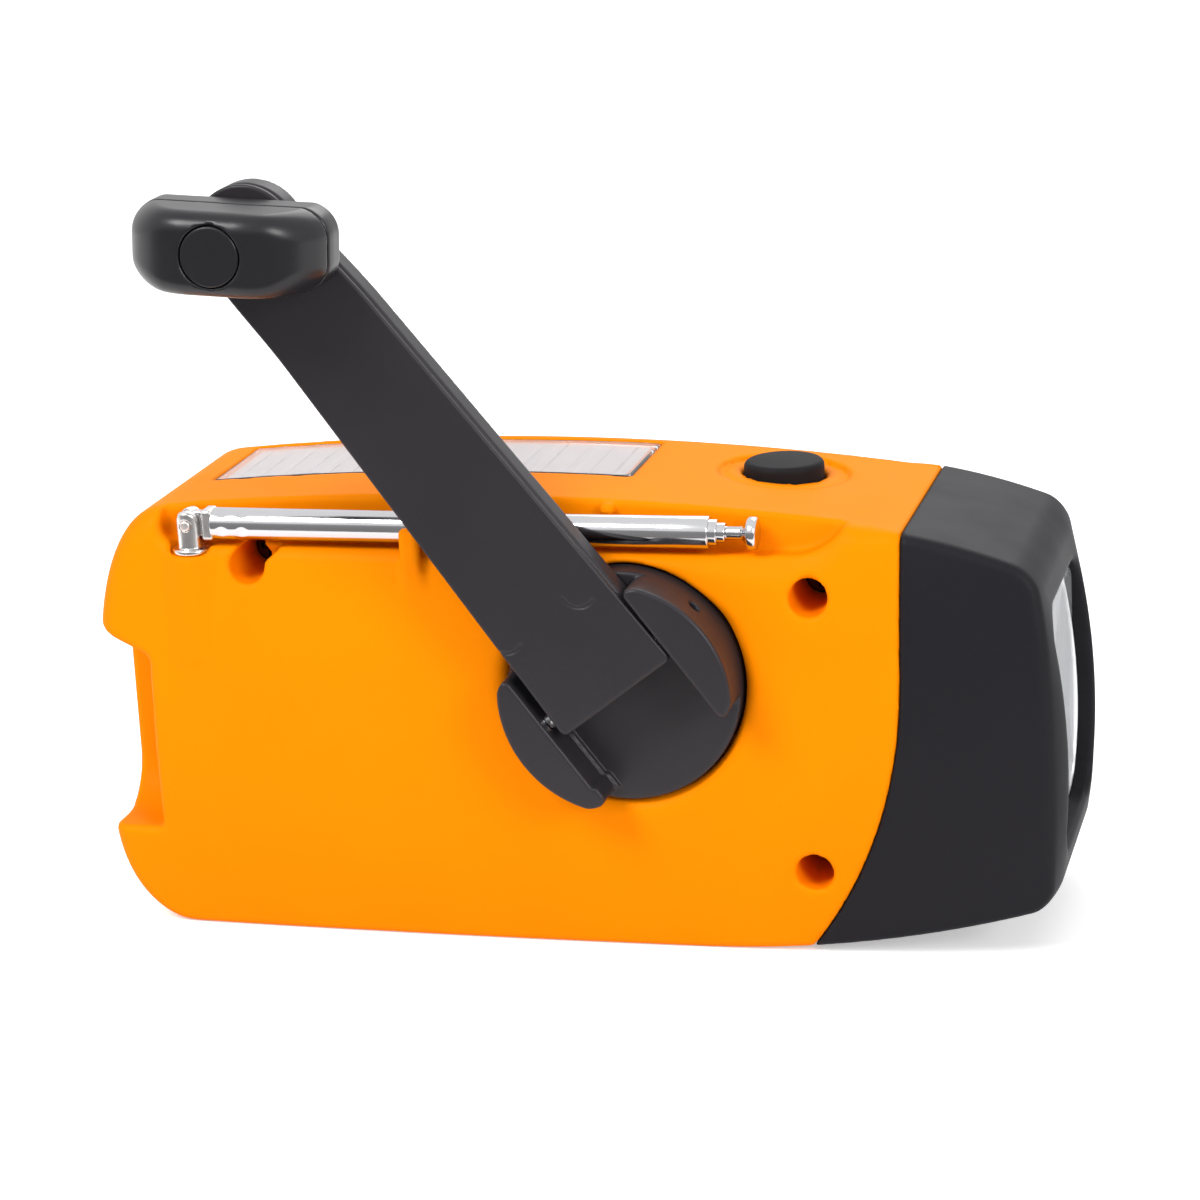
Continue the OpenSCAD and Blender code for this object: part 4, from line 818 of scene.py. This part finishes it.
ORANGE = (0.96, 0.25, 0.0)
BLACK = (0.025, 0.0225, 0.0265)
finishes = {
    "orange_plastic": plastic("orange_plastic", ORANGE, 0.48, 1100.0, 0.000012, 0.02, 0.03),
    "soft_black": plastic("soft_black", BLACK, 0.38, 1300.0, 0.000016, 0.08, 0.25),
    "black_plastic": plastic("black_plastic", (0.010, 0.0095, 0.0115), 0.24, 1500.0, 0.000008, 0.08, 0.4),
    "chrome": metal("chrome", (0.66, 0.66, 0.68), 0.12),
    "steel": metal("steel", (0.6, 0.6, 0.62), 0.28, 600.0, 0.000008),
    # Screw heads: dark steel of their own, with an orange-brown tint that is a painted reflection of the
    # shaded orange bores they sit in
    "dark_steel": metal("dark_steel", (0.06, 0.035, 0.025), 0.55, 600.0, 0.000008),
    "brass": metal("brass", (0.72, 0.52, 0.22), 0.3),
    "clear_lens": thin_clear("clear_lens", (0.9, 0.92, 0.94), 0.05),
    "clear_window": clear("clear_window", (0.96, 0.94, 0.945), 0.05),
    "reflector": silvered("reflector", (0.8, 0.8, 0.82), 0.3),
    "led_resin": plastic("led_resin", (0.85, 0.84, 0.76), 0.15, 300.0, 0.000002, 0.03),
    "cell_dark": cell_finish("cell_dark"),
    "board_green": plastic("board_green", (0.02, 0.16, 0.05), 0.35, 500.0, 0.00001, 0.15),
    "battery_sleeve": plastic("battery_sleeve", (0.05, 0.16, 0.42), 0.3, 300.0, 0.00001, 0.05),
    "white_plastic": plastic("white_plastic", (0.78, 0.78, 0.74), 0.45, 900.0, 0.00001, 0.03),
    "cone_paper": plastic("cone_paper", (0.02, 0.02, 0.02), 0.85, 700.0, 0.00006, 0.3, 0.2),
    "ferrite": plastic("ferrite", (0.045, 0.045, 0.048), 0.6, 800.0, 0.00003, 0.2),
    "copper_wire": metal("copper_wire", (0.6, 0.26, 0.1), 0.3, 2500.0, 0.00006),
    "cover_rubber": plastic("cover_rubber", (0.014, 0.014, 0.014), 0.7, 1200.0, 0.00003, 0.2, 0.3),
}

# Pieces whose finish differs a little from the rest of their slot
own_finish = {
    "head_shell": plastic("head_black", (0.013, 0.0125, 0.0155), 0.5, 1800.0, 0.000006, 0.03, 0.1),
    "button_top": plastic("button_black", (0.012, 0.0115, 0.013), 0.62, 1200.0, 0.00002, 0.08, 0.1),
    "fork_post": metal("satin_nickel", (0.74, 0.72, 0.71), 0.24),
    "rod_knuckle": metal("satin_tongue", (0.74, 0.72, 0.71), 0.24),
    "fork_pin": metal("rivet_end", (0.8, 0.74, 0.71), 0.4),
}
for grip_piece in ("grip_block", "grip_collar", "grip_plug"):
    own_finish[grip_piece] = plastic(
        grip_piece + "_black", (0.0125, 0.012, 0.0145), 0.3, 1500.0, 0.000008, 0.08, 0.35
    )


# Patterns


class Pattern:
    """A Geometry Nodes tree with named sizes that repeats one small shape."""

    def __init__(self, name, **sizes):
        self.group = bpy.data.node_groups.new(name, "GeometryNodeTree")
        new = self.group.interface.new_socket
        new("Points", in_out="INPUT", socket_type="NodeSocketGeometry")
        for size, kind in sizes.items():
            new(size, in_out="INPUT", socket_type=kind)
        new("Geometry", in_out="OUTPUT", socket_type="NodeSocketGeometry")
        self.start = self.add("NodeGroupInput").outputs
        self.end = self.add("NodeGroupOutput").inputs["Geometry"]

    def add(self, kind, **links):
        node = self.group.nodes.new(kind)
        for key, value in links.items():
            socket = node.inputs[key.replace("_", " ")]
            if isinstance(value, bpy.types.NodeSocket):
                self.group.links.new(value, socket)
            else:
                socket.default_value = value
        return node

    def finish(self, points, shape):
        """Ends the tree: shape on every point, realized, with its material."""
        spread = self.add("GeometryNodeInstanceOnPoints", Points=points, Instance=shape)
        real = self.add("GeometryNodeRealizeInstances", Geometry=spread.outputs["Instances"])
        whole = real.outputs["Geometry"]
        done = self.add("GeometryNodeSetMaterial", Geometry=whole, Material=self.start["Finish"])
        self.group.links.new(done.outputs["Geometry"], self.end)

    def run(self, name, points, **sizes):
        """Plain mesh of the tree's result on the given points, in metres."""
        carrier = bpy.data.meshes.new(name)
        carrier.from_pydata([tuple(q) for q in points], [], [])
        obj = linked(name, carrier)
        modifier = obj.modifiers.new("pattern", "NODES")
        modifier.node_group = self.group
        for item in self.group.interface.items_tree:
            if item.in_out == "INPUT" and item.name in sizes:
                modifier[item.identifier] = sizes[item.name]
        view = bpy.context.evaluated_depsgraph_get()
        mesh = bpy.data.meshes.new_from_object(obj.evaluated_get(view))
        obj.modifiers.remove(modifier)
        obj.data = mesh
        return obj


def screw_pattern():
    """Screw heads on points."""
    tree = Pattern("screw_heads", Head="NodeSocketObject", Finish="NodeSocketMaterial")
    head = tree.add("GeometryNodeObjectInfo", Object=tree.start["Head"])
    points = tree.add("GeometryNodeMeshToPoints", Mesh=tree.start["Points"])
    tree.finish(points.outputs["Points"], head.outputs["Geometry"])
    return tree


def rib_pattern():
    """Tapered finger ribs on points, standing along Y."""
    tree = Pattern(
        "finger_ribs", Width="NodeSocketFloat", Height="NodeSocketFloat", Finish="NodeSocketMaterial"
    )
    slim = tree.add("ShaderNodeMath")
    slim.operation = "MULTIPLY"
    tree.group.links.new(tree.start["Width"], slim.inputs[0])
    slim.inputs[1].default_value = 0.6
    rib = tree.add(
        "GeometryNodeMeshCone", Vertices=10, Radius_Bottom=tree.start["Width"], Radius_Top=slim.outputs[0],
        Depth=tree.start["Height"],
    )
    turn = tree.add("GeometryNodeTransform", Geometry=rib.outputs["Mesh"], Rotation=(-math.pi / 2, 0, 0))
    points = tree.add("GeometryNodeMeshToPoints", Mesh=tree.start["Points"])
    tree.finish(points.outputs["Points"], turn.outputs["Geometry"])
    return tree


def line_pattern():
    """Thin collecting lines across the cell, one on every point."""
    tree = Pattern("cell_lines", Size="NodeSocketVector", Finish="NodeSocketMaterial")
    line = tree.add("GeometryNodeMeshCube", Size=tree.start["Size"])
    points = tree.add("GeometryNodeMeshToPoints", Mesh=tree.start["Points"])
    tree.finish(points.outputs["Points"], line.outputs["Mesh"])
    return tree


def merged(name, *parts):
    """One object from several, which are removed."""
    shape = bmesh.new()
    for part in parts:
        shape.from_mesh(part.data)
        bpy.data.objects.remove(part)
    mesh = bpy.data.meshes.new(name)
    shape.to_mesh(mesh)
    shape.free()
    return linked(name, mesh)


# Pieces


def place(obj, body_name, slot_name, *stands_for):
    obj.data.materials.clear()
    obj.data.materials.append(own_finish.get(obj.name, finishes[slot_name]))
    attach(obj, body_name)
    if stands_for:
        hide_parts(*stands_for)
    return obj


slots = {s["node"]: s["material_slot"] for s in frame["record"]["subparts"]}
for name, node in nodes.items():
    node.data.materials.clear()
    node.data.materials.append(finishes[slots[name]])


def knob_box(half_x, low_y, high_y, half_z):
    """Corners of a box about the knob's axle."""
    x, z = KNOB_AT
    return (x - half_x, low_y, z - half_z), (x + half_x, high_y, z + half_z)


# Moulded pieces: name, field, two corners, cell, wall with its cell, body and solid
FINE = 0.47
CASE_WALL, HEAD_WALL = (1.9, 1.6), (1.9, 1.4)
REAR_BOX, FRONT_BOX = ((-63, -21.5, -0.5), (43, 18, 58.5)), ((-63, 17, -0.5), (43, 21.5, 58.5))
CUP_BOX, POST_BOX = ((48, -14.5, 11.5), (61.5, 14.5, 45)), ((-52, -18.9, 49.8), (-46.5, -13.5, 56.5))
TONGUE_BOX, PIN_BOX = ((-51, -18, 51.8), (-45.5, -14.5, 56.2)), ((-50.2, -18.5, 53), (-48.3, -14, 55))
MOULDED = (
    ("rear_shell", rear_shell, *REAR_BOX, FINE * 1.15, CASE_WALL, "housing", "rear_housing"),
    ("front_shell", front_shell, *FRONT_BOX, FINE * 1.1, CASE_WALL, "housing", "front_cover"),
    ("head_shell", head_shell, (29, -21, 0), (62.6, 21.5, 56), FINE, HEAD_WALL, "housing", "lamp_head"),
    ("window_pane", window_pane, (-52, -2, 50), (6, 17, 58), 0.4, None, "housing", "solar_window"),
    ("lens_pane", lens_pane, (57, -15, 11), (59.5, 15, 45.5), 0.35, None, "housing", "lamp_lens"),
    ("reflector_cup", reflector_cup, *CUP_BOX, 0.32, None, "housing", "lamp_reflector"),
    ("hub_body", hub, (-7.5, -26.8, 20), (23, -14.5, 50.5), 0.26, None, "crank_hub", "crank_hub"),
    ("arm_bar", arm_bar, (-44, -25.2, 28), (16, -21, 100), 0.36, None, "crank_arm", "crank_arm"),
    ("arm_plate", arm_plate, (-44, -26.5, 28), (16, -24.6, 100), 0.26, None, "crank_arm", "arm_cover"),
    ("grip_block", grip_block, *knob_box(13.2, -39, -30, 6.4), 0.26, None, "knob", "knob_grip"),
    ("grip_collar", grip_collar, *knob_box(13.2, -31.5, -26, 6.4), 0.26, None, "knob", "knob_back"),
    ("grip_plug", grip_plug, *knob_box(4, -39, -37, 4), 0.18, None, "knob", "knob_cap"),
    ("button_top", button, (16.5, -0.5, 51), (30.5, 13.5, 59), 0.22, None, "lamp_button", "lamp_button"),
    ("fork_post", fork_post, *POST_BOX, 0.14, None, "housing", "antenna_post"),
    ("fork_pin", fork_pin, *PIN_BOX, 0.12, None, "housing", "antenna_hinge_pin"),
    ("rod_knuckle", knuckle, *TONGUE_BOX, 0.14, None, "antenna_tube", "antenna_tongue"),
    ("band_key", band_key, (-8, 11.5, 37.5), (0, 23.5, 42.5), 0.2, None, "band_slider", "band_slider"),
    ("port_lid", port_lid, (-63, 2, 15), (-60.8, 16, 37), 0.24, None, "port_cover", "port_cover"),
)
for name, field, low, high, cell, hollow, rides, node in MOULDED:
    place(moulded(name, field, low, high, cell, hollow), rides, slots[node], node)


def rounded_end(x, r, lip=0.25):
    """End of a tube that faces +X, with its edge rolled over."""
    a = np.radians(np.arange(0, 91, 15))
    return [(x - lip + lip * math.sin(t), r - lip + lip * math.cos(t)) for t in a]


def rod_pieces():
    """Telescopic rod: crimped outer tube, two inner sections and the tip with its button."""
    radii = [ROD_R - ROD_STEP * k for k in range(4)]
    turn = [math.radians(CRIMP_START + 360 / CRIMP_COUNT * k) for k in range(CRIMP_COUNT)]
    crimps = [(TUBE_X + along, t) for along in CRIMP_ROWS for t in turn]
    close = [(TUBE_X + 0.2 + 0.12 * k, ROD_R) for k in range(52)]
    start = [(TUBE_X, 0), (TUBE_X, ROD_R - 0.25), (TUBE_X + 0.08, ROD_R - 0.1)]
    tube = start + close + [(TUBE_END - 4, ROD_R)] + rounded_end(TUBE_END, ROD_R) + [(TUBE_END, 0)]
    place(turned("rod_tube", tube, 96, crimps), "antenna_tube", "chrome", "antenna_tube")
    for k in (1, 2):
        low, end, r, node = TUBE_X + 4 + 2 * k, TUBE_END + k, radii[k], f"antenna_section_{k + 1}"
        piece = [(low, 0), (low, r), (end - 2, r)] + rounded_end(end, r, 0.2) + [(end, 0)]
        place(turned(f"rod_section_{k + 1}", piece), node, "chrome", node)
    low, neck, r = TUBE_X + 10, TIP_X - 1.5, radii[3]
    tip = [(low, 0), (low, r), (neck - 0.7, r), (neck - 0.3, r + 0.15), (neck, r + 0.6)]
    tip += [(neck + 0.3, ROD_R - 0.12), (neck + 0.5, ROD_R)] + rounded_end(TIP_X, ROD_R, 0.4)
    place(turned("rod_tip", tip + [(TIP_X, 0)]), "antenna_tip", "chrome", "antenna_tip")


def case_screws():
    v, q = surface(screw_head, (-2.2, -1.6, -2.2), (2.2, 0.1, 2.2), 0.18)
    head = mesh_object("screw_head", onto(screw_head, v, 0.09), q)
    spots = [(x * MM, SEAT_Y * MM, z * MM) for x, z in SCREWS]
    screws = screw_pattern().run("case_screw_heads", spots, Head=head, Finish=finishes["dark_steel"])
    bpy.data.objects.remove(head)
    place(screws, "housing", "dark_steel", "case_screws")


def turn_knobs():
    """Finger knobs of the speaker side: a dished cap with ribs round it."""
    ribs = rib_pattern()
    for node, (x0, z0, radius, count) in KNOBS.items():
        stem, face = (corner[1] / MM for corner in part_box(node))
        seat, ball, dish_r = radius - RIB_R - 0.05, 3.2 * radius, 0.72 * radius

        def field(p):
            x, y, z = p
            r = np.hypot(x - x0, z - z0)
            f = keep(r - seat, keep(y - face, face - KNOB_H - y), 0.7)
            f = cut(f, np.sqrt(r * r + (y - face - ball) ** 2) - math.hypot(ball, dish_r), 0.3)
            return join(f, keep(r - KNOB_STEM_R, keep(stem - y, y - face + 1.5)))

        reach = radius + 0.3
        low, high = (x0 - reach, stem - 0.3, z0 - reach), (x0 + reach, face + 0.3, z0 + reach)
        cap = moulded(node + "_cap", field, low, high, 0.34)
        turn = [2 * math.pi * k / count for k in range(count)]
        spots = [(x0 + seat * math.cos(t), face - KNOB_H, z0 + seat * math.sin(t)) for t in turn]
        sizes = {"Width": RIB_R * MM, "Height": (KNOB_H - 0.9) * MM, "Finish": finishes["soft_black"]}
        ring = ribs.run(node + "_ribs", np.array(spots) * MM, **sizes)
        place(merged(node + "_body", cap, ring), node, slots[node], node)


def solar_lines():
    """Collecting lines that follow the arched cell."""
    xs = np.linspace(SOLAR_X + 3, SOLAR_X + SOLAR_L - 3, SOLAR_LINES)
    spots = [(x * MM, (SOLAR_Y + SOLAR_W / 2) * MM, (top_at(x) - 1.44) * MM) for x in xs]
    size = (0.14 * MM, (SOLAR_W - 3.2) * MM, 0.05 * MM)
    place(line_pattern().run("cell_lines", spots, Size=size, Finish=finishes["steel"]), "housing", "steel")


rod_pieces()
case_screws()
turn_knobs()
solar_lines()
for node in ("solar_cell", "lamp_leds", "speaker_cone", "speaker_frame", "charge_socket", "phone_jack"):
    place(smoothed(node + "_smooth", node), "housing", slots[node], node)


# Stage, light and camera


def floor():
    half = 3.0
    mesh = bpy.data.meshes.new("floor")
    corners = [(half * a, half * b, 0) for a, b in ((-1, -1), (1, -1), (1, 1), (-1, 1))]
    mesh.from_pydata(corners, [], [(0, 1, 2, 3)])
    obj = linked("floor", mesh)
    f = Finish("pale_floor").set(Roughness=0.9, Specular_IOR_Level=0.1)
    f.tint(3.0, (0.86, 0.86, 0.86), (0.88, 0.88, 0.88))
    f.grain(200.0, 0.00002)
    f.shader.inputs["Emission Color"].default_value = (1, 1, 1, 1)
    path = f.add("ShaderNodeLightPath")
    lit = f.add("ShaderNodeMath", operation="MAXIMUM")
    f.link(path.outputs["Is Camera Ray"], lit.inputs[0])
    f.link(path.outputs["Is Glossy Ray"], lit.inputs[1])
    seen = f.add("ShaderNodeMath", operation="MULTIPLY")
    seen.inputs[1].default_value = 0.42
    f.link(lit.outputs[0], seen.inputs[0])
    f.link(seen.outputs[0], f.shader.inputs["Emission Strength"])
    mesh.materials.append(f.material)


def dark_card():
    """Leaning card in front of the radio that only reflections see, so that polished metal has contrast."""
    half, near, far, height = 0.6, -0.11, -0.65, 0.28
    mesh = bpy.data.meshes.new("dark_card")
    corners = [(-half, near, 0.001), (half, near, 0.001), (half, far, height), (-half, far, height)]
    mesh.from_pydata(corners, [], [(0, 1, 2, 3)])
    obj = linked("dark_card", mesh)
    f = Finish("card_black").set(Roughness=0.9, Specular_IOR_Level=0.1)
    mesh.materials.append(f.tint(5.0, (0.2, 0.2, 0.2), (0.24, 0.24, 0.24)).material)
    obj.visible_camera = obj.visible_diffuse = obj.visible_shadow = obj.visible_transmission = False


def sky():
    world = bpy.data.worlds.new("studio")
    bpy.context.scene.world = world
    world.use_nodes = True
    tree = world.node_tree
    back = tree.nodes["Background"]
    path = tree.nodes.new("ShaderNodeLightPath")
    one = tree.nodes.new("ShaderNodeMath")
    two = tree.nodes.new("ShaderNodeMath")
    one.operation = two.operation = "MAXIMUM"
    tree.links.new(path.outputs["Is Camera Ray"], one.inputs[0])
    tree.links.new(path.outputs["Is Glossy Ray"], one.inputs[1])
    tree.links.new(one.outputs[0], two.inputs[0])
    tree.links.new(path.outputs["Is Transmission Ray"], two.inputs[1])
    level = tree.nodes.new("ShaderNodeMapRange")
    level.inputs["To Min"].default_value, level.inputs["To Max"].default_value = 0.55, 1.0
    tree.links.new(two.outputs[0], level.inputs["Value"])
    tree.links.new(level.outputs["Result"], back.inputs["Strength"])
    back.inputs["Color"].default_value = (1, 1, 1, 1)


def lamp(name, at, size, power, aim=(0, 0, 0.04)):
    data = bpy.data.lights.new(name, "AREA")
    data.shape, data.size, data.energy = "DISK", size, power
    obj = linked(name, data)
    obj.location = at
    obj.rotation_euler = (Vector(aim) - Vector(at)).to_track_quat("-Z", "Y").to_euler()


def camera():
    az, el, roll = (math.radians(d) for d in (14.849, 16.127, -2.835))
    aim, distance, focal_px, frame_px = Vector((-0.116, 0, 40.175)) * MM, 453.759 * MM, 3512.38, 1200
    back = Vector((math.sin(az) * math.cos(el), -math.cos(az) * math.cos(el), math.sin(el)))
    right = Vector((math.cos(az), math.sin(az), 0))
    up = back.cross(right)
    x = right * math.cos(roll) + up * math.sin(roll)
    y = up * math.cos(roll) - right * math.sin(roll)
    data = bpy.data.cameras.new("camera")
    data.sensor_width, data.sensor_fit = 36, "HORIZONTAL"
    data.lens = focal_px * data.sensor_width / frame_px
    data.clip_start = 0.01
    obj = linked("camera", data)
    turn = Matrix((x, y, back)).transposed().to_4x4()
    obj.matrix_world = Matrix.Translation(aim + back * distance) @ turn
    bpy.context.scene.camera = obj


floor()
dark_card()
sky()
lamp("key", (-0.5, -0.7, 0.9), 0.5, 9.0)
lamp("fill", (0.8, -0.6, 0.5), 0.4, 5.0)
lamp("rim", (0.1, 0.8, 0.8), 0.8, 5.0)
camera()
bpy.context.scene.view_settings.view_transform = "Standard"
